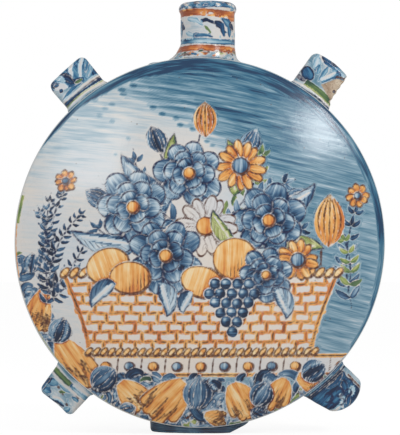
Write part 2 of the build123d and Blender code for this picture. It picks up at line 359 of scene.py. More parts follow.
class Decorator(Canvas):
    """A canvas that the ware's motifs are drawn on, all of them old common ones."""

    INK = 1.1  # usual width of an outline
    RIBS = 5  # ribs of a bud
    LOBES = 5  # lobes of a ragged leaf

    def vary(self, spread: float) -> float:
        """A small random difference, either way."""
        return float(self.random.uniform(-spread, spread))

    def leaf(self, base: Spot, tip: Spot, width: float, bow: float = 2.0,
             pigment: Pigment = COBALT) -> None:
        """Paints a leaf: a pale half, a dark half, a scraped midrib and an outline.

        Args:
            base: Where its stalk is.
            tip: Its point.
            width: Its widest width.
            bow: How far it arches to the left.
            pigment: Its colour.
        """
        line = bend(base, tip, bow)
        near = self.near(line, width + 2)
        distance, share, side = self.follow(line, near)
        edge = distance - LEAF.width(share) * width / 2
        shade = 0.32 + 0.42 * smooth_step(-side, -0.8, 1.0) - 0.15 * share
        slant = side * 0.8 + share * math.dist(base, tip) * np.sign(side) * 0.6
        self.cover(pigment, near, edge, shade, np.abs(side), slant, 0.5, 0.55)
        self.ink(BLUE_INK, near, np.abs(edge) - self.INK / 2 * (0.7 + 0.4 * np.sin(share * 9)))
        self.stroke(bend(line[1], line[-3]), 1.3, None, 0, LINE)

    def spray(self, base: Spot, tip: Spot, bow: float, pairs: int, length: float,
              width: float, pigment: Pigment = COBALT, tone: float = 0.7) -> None:
        """Paints a stalk with leaves in pairs that shorten towards its tip.

        Args:
            base: Where the stalk starts.
            tip: Where it ends.
            bow: How far it arches to the left.
            pairs: How many pairs of leaves it has.
            length: Length of the lowest leaves.
            width: Their width.
            pigment: Their colour.
            tone: How dark they are.
        """
        stalk = bend(base, tip, bow, 24)
        self.line(stalk, 1.3, BLUE_INK)
        for share in (np.arange(pairs) + 0.8) / (pairs + 0.4):
            place = int(share * 24)
            run = stalk[min(place + 1, 24)] - stalk[place - 1]
            heading = math.degrees(math.atan2(run[1], run[0]))
            for way in (-1, 0, 1) if share > 0.8 else (-1, 1):
                end = polar(stalk[place], length * (1.1 - 0.55 * share), heading + way * (52 + self.vary(9)))
                self.stroke(bend(stalk[place], end, way * length * 0.1, 8), width * (1.1 - 0.4 * share),
                            pigment, tone + self.vary(0.14), LEAF, fade=0.3, gap=0.3)

    def flower(self, centre: Spot, radius: float, rows: Sequence[int] = (7, 6, 4),
               pigment: Pigment | None = COBALT, tone: float = 0.0, heart: float = 0.17) -> None:
        """Paints a flower of overlapping petals, from the rim inwards.

        Args:
            centre: Its middle.
            radius: Its reach.
            rows: How many petals each row has, the outer row first.
            pigment: Its colour, or None for white petals.
            tone: How much darker than usual it is.
            heart: Reach of its heart, as a share of its own.
        """
        blue = pigment is COBALT
        for row, petals in enumerate(rows):
            for number in range(petals):
                heading = 360 * (number + 0.5 * row) / petals + self.vary(7) + radius
                size = radius * (1 - 0.27 * row) * (1 + self.vary(0.07))
                half = (size * 0.36, size * math.sin(math.pi / petals) * 0.74)
                near, distance, along, across = self.blob(polar(centre, size * 0.64, heading), half, heading)
                share, fold = np.clip(along / half[0] / 2 + 0.5, 0, 1), across / half[1]
                depth = (0.88 if blue else 0.42) + self.vary(0.1)
                shade = 0.16 + tone + depth * (1 - share) ** (0.8 if blue else 1.5) - 0.16 * fold
                self.cover(pigment, near, distance, shade, share * size, across * (0.55 + 0.45 * share), 0.35,
                           0.75 * (1 - share))
                weight = self.INK * (0.3 + 0.3 * share + 0.16 * np.sin(fold * 4 + number))
                self.ink(BLUE_INK if blue else BROWN_INK, near, np.abs(distance) - weight)
        heart_colour = COBALT if pigment is OCHRE else OCHRE
        self.fruit(centre, (radius * heart, radius * heart), 0, 0.4, heart_colour, 0.2)

    def fruit(self, centre: Spot, half: Spot, turn: float = 0, tone: float = 0.26,
              pigment: Pigment = OCHRE, ruled: float = 1.0) -> None:
        """Paints a round or long fruit with a lit side, a hatched side and an outline.

        Args:
            centre: Its middle.
            half: Its half length and half width.
            turn: Turn of its length, in degrees.
            tone: How dark its lit side is.
            pigment: Its colour.
            ruled: Strength of the hatching.
        """
        near, distance, along, across = self.blob(centre, half, turn)
        shadow = ((self.x[near] - centre[0]) * 0.62 - (self.y[near] - centre[1]) * 0.78) / max(half)
        shade = tone + 0.3 * smooth_step(shadow, -0.3, 0.9) + 0.06 * np.sin(along * 0.7)
        self.cover(pigment, near, distance, shade, across, along, 0.5, ruled * smooth_step(shadow, 0.0, 0.5))
        self.ink(BROWN_INK, near, np.abs(distance + 0.2) - self.INK * (0.65 + 0.35 * shadow))

    def grapes(self, centre: Spot, rows: Sequence[int], radius: float) -> None:
        """Paints a hanging bunch of dark berries, each with its glint.

        Args:
            centre: Middle of its top row.
            rows: How many berries each row has.
            radius: Size of a berry.
        """
        for row, berries in enumerate(rows):
            for number in range(berries):
                x = centre[0] + (number - (berries - 1) / 2) * radius * 2.05 + self.vary(0.5)
                y = centre[1] - row * radius * 1.75 + self.vary(0.4)
                near, distance, along, across = self.blob((x, y), (radius, radius), 0)
                glint = np.exp(-((along + 1.1) ** 2 + (across - 1.2) ** 2) / 3)
                self.cover(COBALT, near, distance, 0.84 - 0.7 * glint, along, across, 0.5)

    def bud(self, centre: Spot, half: Spot, turn: float, pigment: Pigment = COBALT) -> None:
        """Paints a ribbed bud from its sides to its middle, each rib one stroke.

        Args:
            centre: Its middle.
            half: Its half length and half width.
            turn: Turn of its length, in degrees.
            pigment: Its colour.
        """
        ends = [polar(centre, way * half[0], turn) for way in (-1, 1)]
        blue = pigment is COBALT
        for way in (-1, 1):
            self.line(bend(*ends, way * half[1] * 1.04, 12), 1.7, BLUE_INK if blue else BROWN_INK)
        for side in sorted(np.linspace(-1, 1, self.RIBS), key=abs, reverse=True):
            tone = (0.74 if blue else 0.52) + self.vary(0.2) - 0.16 * side
            rib = bend(*ends, side * half[1] * 0.8, 10)
            self.stroke(rib, 2.7 * half[1] / self.RIBS, pigment, tone, LEAF, 0.25, 0.3)
            if not blue:
                self.line(rib, 1.2)

    def tuft(self, root: Spot, tip: Spot, width: float) -> None:
        """Paints a broad ochre leaf with a ragged end, hatched in brown towards it.

        Args:
            root: Where its stalk is.
            tip: Where its middle lobe ends.
            width: Its width at the ragged end.
        """
        start, run = np.array(root), np.subtract(tip, root)
        side = np.array([-run[1], run[0]]) / math.dist(root, tip)
        near = self.near(np.array([root, tip]), width)
        edge = np.full(near.size, 99.0)
        for off in np.linspace(-0.5, 0.5, self.LOBES) * width:
            end = start + side * off + run * (1 + self.vary(0.16) - 0.8 * (off / width) ** 2)
            distance, share, _ = self.follow(bend(start + side * off * 0.3, end, off * 0.2, 5), near)
            edge = np.minimum(edge, distance - width / self.LOBES * (0.5 + 0.4 * share))
        _, share, across = self.follow(bend(root, tip, 0, 2), near)
        tone = 0.3 + 0.12 * np.sin(across * 0.8) + 0.1 * share
        self.cover(OCHRE, near, edge, tone, share * 30, across, 0.4)
        self.ink(BROWN_INK, near, np.abs(edge + 0.4) - 0.55 * smooth_step(share, 0.1, 0.9))
        for _ in range(3 * self.LOBES):
            aside, along = self.random.uniform(-0.5, 0.5), self.random.uniform(0.45, 0.85)
            spot = start + side * width * aside + run * along
            self.line(bend(spot, spot + run * 0.28 + side * self.vary(1), 0.4, 4), 1.2)

    def curl(self, centre: Spot, radius: float, tone: float, pigment: Pigment) -> None:
        """Paints a brush stroke that curls round, as in a scroll of foliage.

        Args:
            centre: What it curls round.
            radius: How wide it curls.
            tone: How dark it is.
            pigment: Its colour.
        """
        sweep = self.random.uniform(110, 230) * self.random.choice((-1, 1))
        line = loop(centre, radius, self.vary(180), sweep, 14)
        self.stroke(line, radius * 0.78, pigment, tone, DAB, 0.35, 0.3)

    def joint(self, line: Points, tone: float = 0.42) -> None:
        """Paints a brown line with ochre on either side of it."""
        self.stroke(line, 2.9, OCHRE, tone + self.vary(0.1), ROUND)
        self.line(line, 1.2)

    def basket(self, plan: "FacePlan", rows: int = 8, cells: int = 14) -> None:
        """Paints a wicker basket: staggered withies, a plaited rim and a plaited base.

        Args:
            plan: Where it stands on the face.
            rows: Rows of withies.
            cells: Withies in a row.
        """
        low, tall = plan.basket_low, plan.basket_high - plan.basket_low

        def half(y: Points | float) -> Points | float:
            """Half the basket's width at a height."""
            grow = plan.basket_high_half - plan.basket_low_half
            return plan.basket_low_half + grow * np.clip((y - low) / tall, 0, 1) ** 1.4

        near = np.flatnonzero(np.abs(self.y - low - tall / 2) < tall / 2 + 3)
        x, y = self.x[near], self.y[near]
        edge = np.maximum(np.abs(x) - half(y), np.maximum(low - y, y - low - tall))
        self.cover(None, near, edge, 0.2, x, y, 0.6)
        for row in range(rows):
            base, top = low + row * tall / rows, low + (row + 1) * tall / rows
            reach = half((base + top) / 2)
            across = np.linspace(-reach, reach, 4 * cells + 1)
            wave = 0.35 * np.cos(np.linspace(0, cells * math.pi, across.size) + row * math.pi / 2)
            self.joint(np.stack([across, top + wave], 1))
            for number in range(cells + 1):
                place = (2 * number + row % 2) * reach / cells - reach + self.vary(0.8)
                if place < reach + 1:
                    self.joint(bend((place, base + 0.6), (place + self.vary(0.5), top - 0.6), 0.3, 4))
        for way in (-1, 1):
            heights = np.linspace(low, low + tall, 9)
            self.joint(np.stack([way * half(heights), heights], 1))
        for level, width in ((low + tall + 1.5, 7.0), (low - 0.5, 5.6)):
            reach = half(level) + 3
            for place in np.arange(width / 2 - reach, reach, width * 0.92):
                self.fruit((place, level), (width * 0.62, width * 0.34), 48, 0.14 + self.vary(0.06))


@dataclass(frozen=True)
class FacePlan:
    """Where the main parts of a face's drawing lie, from the middle of the face."""

    radius: float = 127.4
    ledge_top: float = -78.0
    ledge_low: float = -91.0
    basket_low: float = -74.0
    basket_high: float = -22.0
    basket_low_half: float = 76.0
    basket_high_half: float = 93.0


class FacePainter(Decorator):
    """Paints a domed face: sky wash, flowers and fruit in a basket, and foliage below."""

    ROW = 2.9

    def __init__(self, across: Points, up: Points, seed: int, plan: FacePlan) -> None:
        """Starts a blank face to the plan."""
        super().__init__(across, up, seed)
        self.plan = plan

    @staticmethod
    def sag(x: Points | float) -> Points | float:
        """How far the sky's strokes drop at each place across; they slope most on the right."""
        return 0.09 * x + 0.075 * (np.hypot(x, 32.0) + x)

    def sky(self, strength: float = 1.0) -> None:
        """Washes the ground in blue, pale on the left and full on the right, and bands the edge.

        Args:
            strength: How strong the wash is, against the front's.
        """
        x, y, radius = self.x, self.y, self.plan.radius
        self.brush[:, 1] = y + self.sag(x)
        top = smooth_step(y + 0.3 * np.abs(x), 62, 108)
        wash = 0.07 + 0.29 * smooth_step(x + 0.25 * y, 10, 80) + 0.13 * top + 0.02 * smooth_step(-x, 0, 100)
        self.wash[:] = np.clip(strength * wash, 0, 0.85)
        for level in np.arange(-70.0, 126.0, self.ROW):
            self.sky_row(level + self.vary(0.8), strength)
        reach, angle = np.hypot(x, y), np.degrees(np.arctan2(y, x))
        width = np.interp(angle, (-42, -34, -8, 28, 60, 95, 124, 150, 154),
                          (-3, 1.5, 4.5, 6.5, 11, 10.5, 5.5, 1, -3)) + 0.5 * np.sin(angle / 3.1)
        band = np.clip(0.5 + (reach - radius + width) / self.EDGE, 0, 1)
        load = 0.72 + 0.08 * np.sin(angle / 7) + 0.1 * smooth_step(-np.abs(angle - 96), -60, -6)
        self.wash[:] = np.maximum(self.wash, band * load)
        along = np.radians(angle) * radius
        self.brush[:, :2] = np.where(band[:, None] > 0.5, np.stack([along, reach], 1), self.brush[:, :2])

    def sky_row(self, level: float, strength: float) -> None:
        """Draws one row of the sky's strokes: a faint one from the left, a bold one to the right.

        Args:
            level: Height of the row.
            strength: How strong it is, against the front's.
        """
        high = min(max((level - 58) / 40, 0.0), 1.0)
        start = 34 - 86 * high + self.vary(5) if level > 20 else 42 + self.vary(14)
        stop = -50 + self.vary(9) - 26 * high
        faint = self.streak(level, -126.0, stop, 0.04 * strength, 2.4)
        bold = self.streak(level, start, 126.0, (0.08 + 0.16 * high) * strength, 3.4)
        for spot, weight in ((faint[-1], 0.24), (bold[0], 0.36 + 0.1 * high)):
            if 10 < level < 112 and self.random.random() < 0.6:
                dot = bend(spot, spot + np.array([2.2 + 2.0 * high, -0.3]), 0, 3)
                self.soften(dot, 1.7 + 1.1 * high, weight * strength)
        for _ in range(2 if high > 0.1 else 1):
            low = start + self.random.uniform(4, 60)
            self.streak(level + self.vary(1.4), low, low + self.random.uniform(22, 64),
                        (0.1 + 0.14 * high) * strength, self.random.uniform(1.6, 3.2))

    def streak(self, level: float, low: float, far: float, weight: float, width: float) -> Points:
        """Draws one stroke of the sky.

        Args:
            level: Its height.
            low: Where it starts.
            far: Where it ends.
            weight: How strong it is.
            width: Its widest width.

        Returns:
            Its points.
        """
        x = np.linspace(low, far, 20)
        line = np.stack([x, level - self.sag(x) + 0.5 * np.sin(x / 19 + level)], 1)
        inside = line[np.hypot(*line.T) < self.plan.radius - 2]
        if len(inside) < 4:
            return line
        self.soften(inside, width, weight)
        return inside

    def thicket(self, place: Callable[[float, float], bool], count: int) -> None:
        """Fills part of the ground with short curling strokes of blue.

        Args:
            place: Whether a stroke may stand at a point.
            count: How many strokes to draw.
        """
        radius, drawn = self.plan.radius, 0
        while drawn < count:
            x, y = self.random.uniform(-radius, radius), self.random.uniform(-radius, 0)
            if math.hypot(x, y) > radius or not place(x, y):
                continue
            drawn += 1
            if drawn % 9 == 0:
                self.line(loop((x, y), 5, self.vary(180), self.random.uniform(60, 150), 8), 1.5)
                continue
            self.curl((x, y), self.random.uniform(3.4, 8.0), self.random.uniform(0.45, 1.0),
                      GREEN if drawn % 17 == 0 else COBALT)

    def ledge(self) -> None:
        """Paints the tiled ledge that the basket stands on."""
        low, top, radius = self.plan.ledge_low, self.plan.ledge_top, self.plan.radius
        near = np.flatnonzero((self.y > low - 4) & (self.y < top + 4))
        edge = np.abs(self.y[near] - (top + low) / 2) - (top - low) / 2
        self.cover(None, near, edge, 0.2, self.x[near], self.y[near])
        for number in range(-6, 7):
            x = number * 16.2
            self.fruit((x, (top + low) / 2), (3.6, 3.2), 0, 0.34, COBALT if number % 2 else OCHRE)
            self.line(bend((x + 8, low), (x + 9, top), 0.4, 6), 1.2)
        for level in (top, low):
            self.joint(bend((-radius, level), (radius, level), 0.8, 30), 0.3)

    def edge_marks(self) -> None:
        """Tints parts of the rounded edge green and ochre, and draws a thin line inside the lower edge."""
        radius = self.plan.radius
        near = np.flatnonzero(np.hypot(self.x, self.y) > radius - 6)
        reach, angle = np.hypot(self.x, self.y)[near], np.degrees(np.arctan2(self.y, self.x))[near] % 360
        low = smooth_step(np.abs((angle - 268) % 360 - 180), 108, 132)
        line = np.abs(reach - radius + 3.4 + 0.5 * np.sin(np.radians(angle) * 9))
        self.ink(BROWN_INK, near, line - 0.1 + 1.4 * (1 - low))
        for start, end, width, pigment, tone in (
                (165, 174, 2.8, GREEN, 0.3), (174, 191, 1.4, OCHRE, 0.46),
                (207, 226, 1.2, GREEN, 0.45), (300, 322, 1.2, COBALT, 0.5)):
            off = np.radians(np.maximum(start - angle, angle - end)) * radius
            self.cover(pigment, near, np.maximum(radius - width - reach, off), tone, off, reach)


class FrontPainter(FacePainter):
    """Paints the flask's front: a basket of flowers and fruit on a tiled ledge."""

    def paint(self) -> None:
        """Paints the whole face, the farthest things first."""
        self.sky()
        self.ledge()
        self.foliage()
        self.side_plants()
        self.back_growth()
        self.basket(self.plan)
        self.heap()
        self.edge_marks()

    def foliage(self) -> None:
        """Paints the belt of broad leaves and ribbed buds that climbs the left edge of the face."""
        low = self.plan.ledge_low
        self.wash[:] = np.maximum(self.wash, 0.4 * smooth_step(-self.y, -low - 3, -low + 3))
        self.thicket(lambda x, y: y < low - 4 + 84 * max(0.0, (-x - 74) / 50) ** 1.3, 420)
        for root, tip, width in (((-96, -68), (-78, -95), 19), ((-54, -97), (-40, -112), 16),
                                 ((-12, -97), (-32, -118), 22), ((22, -98), (32, -116), 17),
                                 ((58, -95), (50, -111), 15), ((68, -92), (84, -99), 13),
                                 ((-107, -34), (-114, -58), 15), ((4, -118), (16, -122), 9)):
            self.tuft(root, tip, width)
        for x, y, turn, length in (
                (-66, -93, 40, 10), (-50, -115, 20, 6), (-2, -103, 84, 11), (42, -104, 60, 9),
                (40, -118, 150, 6), (78, -88, 30, 9), (-115, -14, 80, 7), (-96, -60, 70, 9)):
            self.bud((x, y), (length, length * 0.84), turn)

    def side_plants(self) -> None:
        """Paints the tall sprays that grow at either side of the basket."""
        for base, tip, bow, pairs in (((-106, -44), (-112, 26), -6, 13), ((-105, -30), (-92, 38), 5, 13),
                                      ((-104, -34), (-102, 34), 3, 12), ((-103, -22), (-78, 22), 5, 10),
                                      ((-104, -34), (-78, 2), -3, 8), ((-104, -40), (-82, -14), -3, 6)):
            self.spray(base, tip, bow, pairs, 8, 2.6, tone=0.86)
        self.spray((104, -44), (108, 26), 6, 8, 12, 4.0, tone=0.85)
        self.spray((101, -34), (96, 6), -4, 5, 10, 3.6, GREEN, 0.6)
        self.line(bend((86, -30), (84, 4), 3, 12), 1.6)
        self.bud((88, 15), (18, 10), 88, OCHRE)
        for x, y, size in ((-92, 42, 7.4), (108, 32, 8.0)):
            self.flower((x, y), size, (8,), OCHRE, 0.1, 0.34)

    def back_growth(self) -> None:
        """Paints the leaves, buds and sprays behind the flowers."""
        for heading, reach, bow in ((166, 78, 8), (147, 80, -7), (124, 82, 8), (60, 84, -8), (36, 80, 7),
                                    (14, 76, -8)):
            root, tip = polar((0, -8), 22, heading), polar((0, -4), reach, heading)
            self.spray(root, tip, bow, 6, 12, 4.4, GREEN if reach == 84 else COBALT, 0.72)
        for x, y, turn, size in ((-30, 70, 112, 10), (3, 84, 90, 12), (34, 68, 66, 10), (-70, 30, 152, 10),
                                 (66, 30, 25, 10)):
            self.line(bend((x * 0.3, y * 0.5), (x, y), 4, 14), 1.5, BLUE_INK)
            self.bud((x, y), (size, size * 0.62), turn, OCHRE if abs(x) < 10 else COBALT)
        for base, tip, width, bow, pigment in (
                ((-20, 28), (-54, 60), 15, 5, COBALT), ((22, 32), (18, 70), 14, -4, GREEN),
                ((-10, 34), (-18, 74), 13, 5, GREEN), ((44, 18), (78, 40), 14, -5, COBALT),
                ((-44, 0), (-88, 8), 14, 5, COBALT), ((48, -8), (84, -4), 13, 5, GREEN)):
            self.leaf(base, tip, width, bow, pigment)

    def heap(self) -> None:
        """Paints the flowers and fruit that fill the basket and hang over its rim."""
        self.flower((27, 52), 17, (13,), OCHRE, 0.08, 0.34)
        self.flower((-8, 47), 23, tone=-0.1)
        self.flower((46, 15), 25)
        self.flower((-46, 24), 25, tone=-0.14)
        self.flower((3, 11), 21, (12,), None, heart=0.3)
        self.leaf((22, 0), (8, 22), 10, 3, GREEN)
        self.fruit((-63, -16), (15, 12), 20, 0.22)
        self.flower((-24, -9), 25, (8, 6, 4), tone=0.04)
        self.fruit((-48, -24), (14, 11), 0, 0.34)
        self.flower((66, -12), 14, (11,), OCHRE, 0.1, 0.36)
        self.fruit((23, -11), (15, 14))
        self.flower((44, -22), 18, (7, 5, 4))
        self.fruit((1, -27), (15, 10.5), -18, 0.24)
        self.grapes((21, -28), (4, 5, 4, 3, 2, 1), 3.7)
        for base, tip, width, bow in (((-28, -28), (-23, -50), 12, 4), ((-58, -28), (-74, -44), 11, -4),
                                      ((50, -32), (58, -52), 12, 4), ((-6, -34), (-12, -48), 9, -3)):
            self.leaf(base, tip, width, bow)


class BackPainter(FacePainter):
    """Paints the flask's back: one large flower in a ring of leaves."""

    def paint(self) -> None:
        """Paints the whole face, the farthest things first."""
        self.sky(0.85)
        self.thicket(lambda x, y: y < -90, 170)
        for number in range(-3, 4):
            x, y = number * 29, -92 + abs(number) * 4
            self.tuft((x, y), (x + number * 4, y - 18), 18)
        for number in range(16):
            heading = 360 * number / 16 + 8
            root, tip = polar((0, 6), 38, heading), polar((0, 6), 74 + 5 * (number % 2), heading + 9)
            self.leaf(root, tip, 12, 4, GREEN if number % 4 == 1 else COBALT)
        for number in range(8):
            self.flower(polar((0, 6), 56, 45 * number), 11, (9,), OCHRE, 0.1, 0.36)
        self.flower((0, 6), 38, (9, 7, 5))
        self.edge_marks()


class RimPainter(Decorator):
    """Paints the narrow side wall: lines along both edges and a leafy band between them."""

    def paint(self, half_depth: float, length: float) -> None:
        """Paints the wall.

        Args:
            half_depth: From the seam to the edge of a face.
            length: Once round the wall.
        """
        every, off = np.arange(self.x.size), np.abs(self.y)
        self.wash[:] = 0.14 + 0.3 * smooth_step(off, 8, 14) * smooth_step(-off, -20, -17)
        for inset, width, pigment, tone in ((4.6, 3.2, COBALT, 0.5), (9.4, 3.0, GREEN, 0.5),
                                            (13.6, 1.9, OCHRE, 0.6)):
            distance = np.abs(off - half_depth + inset - 0.5 * np.sin(self.x / 23)) - width / 2
            self.cover(pigment, every, distance, tone + 0.12 * np.sin(self.x / 41), self.x, self.y)
            self.ink(BROWN_INK, every, np.abs(distance - 0.2) - 0.4)
        count = int(length / 21)
        for number in range(count):
            x, way = (number + 0.5) * length / count - length / 2, 1 if number % 2 else -1
            self.stroke(bend((x - 10, -way * 3), (x + 10, way * 3), way * 3, 8), 2.2, COBALT, 0.8)
            for spread in (24, 58):
                self.stroke(bend((x - 2, 0), polar((x, 0), 9, way * spread), 1.5, 6), 4.4, COBALT,
                            0.68, LEAF, 0.2, 0.4)
            self.stroke(bend((x + 4, -way * 4), (x + 6, -way * 5), 0, 3), 3.6, GREEN, 0.5, ROUND)


class SmallPainter(Decorator):
    """What the painters of the small pieces share."""

    def strokes(self, marks: Iterable[tuple], shift: float = 0.0) -> None:
        """Lays strokes.

        Args:
            marks: For each, where it starts, turns and ends, its width, colour and tone.
            shift: How far to the right all of them are moved.
        """
        for *places, width, pigment, tone in marks:
            start, middle, end = np.reshape(places, (3, 2)) + (shift, 0.0)
            line = np.concatenate([bend(start, middle, 0, 5), bend(middle, end, 0, 5)[1:]])
            self.stroke(line, width, pigment, tone, DAB, 0.1, 0.1)


class NeckPainter(SmallPainter):
    """Paints the neck's bands and the leaf strokes between them."""

    def paint(self, half_round: float) -> None:
        """Paints the neck, whose drawing hangs from the lip at height 0.

        Args:
            half_round: Half the way round it.
        """
        blue, green, ochre = COBALT, GREEN, OCHRE
        x, drop = self.x, -self.y
        sway = 1.3 * np.sin(x / 11 + 0.5) + 0.8 * np.sin(x / 5.2)
        right = smooth_step(x, 4, 18)
        flare = smooth_step(drop, 35.0, 37.0)
        self.wash[:] = 0.09 + 0.09 * np.sin(x / 8 + 2.6) * (1 - flare) + flare * (0.2 + 0.14 * np.sin(x / 5))
        for place, width, pigment, tone in (
                (-1.2 - 0.3 * sway, 13.4, blue, 0.6),
                (8.5 + 2.0 * right + 0.25 * sway, 5.0 + 2.2 * right, ochre, 0.84),
                (28.3 + 0.3 * sway, 3.8, blue, 0.3 + 0.32 * right + 0.24 * smooth_step(-x, 6, 16)),
                (33.2 + 0.0011 * x**2 * (1 + right) + 0.2 * sway, 4.4, ochre, 0.86)):
            self.cover(pigment, np.arange(x.size), np.abs(drop - place) - width / 2,
                       tone + 0.12 * np.sin(x / 4.1), x, self.y)
        for low, high, count, tones, pigments in (
                (-7.0, 5.6, 190, (0.2, 1.0), (blue, blue, None)), (6.0, 13.0, 14, (0.5, 1.0), (None, ochre)),
                (12.0, 27.0, 70, (0.0, 0.34), (blue, blue, None)),
                (35.2, 38.2, 110, (0.7, 1.1), (green, BROWN_INK, ochre)),
                (37.4, 41.0, 50, (0.0, 0.6), (blue, None))):
            for _ in range(count):
                across, down = self.random.uniform(-half_round, half_round), self.random.uniform(low, high)
                line = bend((across, -down), (across + self.vary(4.5), self.vary(1.2) - down), 0.4, 4)
                self.stroke(line, 1.7, self.random.choice(pigments), self.random.uniform(*tones))
        for turn in (-42.0, 0.0, 42.0):
            self.strokes((
                (-7.6, -15.4, -1.6, -13.6, 6.6, -16.8, 2.8, blue, 1.0),
                (5.4, -15.4, 9.8, -17.6, 11.6, -25.0, 4.8, blue, 0.8),
                (12.4, -14.0, 17.4, -17.0, 17.2, -25.4, 6.2, blue, 0.6),
                (-23.2, -16.8, -21.6, -18.2, -19.4, -19.6, 4.0, blue, 0.92),
                (-15.6, -12.8, -9.0, -13.8, -4.0, -17.6, 3.8, blue, 0.2),
                (-17.6, -22.4, -12.0, -24.2, -6.6, -22.6, 3.4, blue, 0.22),
                (-2.4, -18.4, 0.0, -20.6, 1.8, -23.4, 2.2, green, 0.5),
                (-9.6, -24.6, -3.0, -24.0, 3.2, -25.6, 2.6, blue, 0.66)), turn)


class LugStyle(Enum):
    """How each lug is painted."""

    STRIPES = "stripes"
    PATCHES = "patches"
    BLOTS = "blots"
    DEEP = "deep"


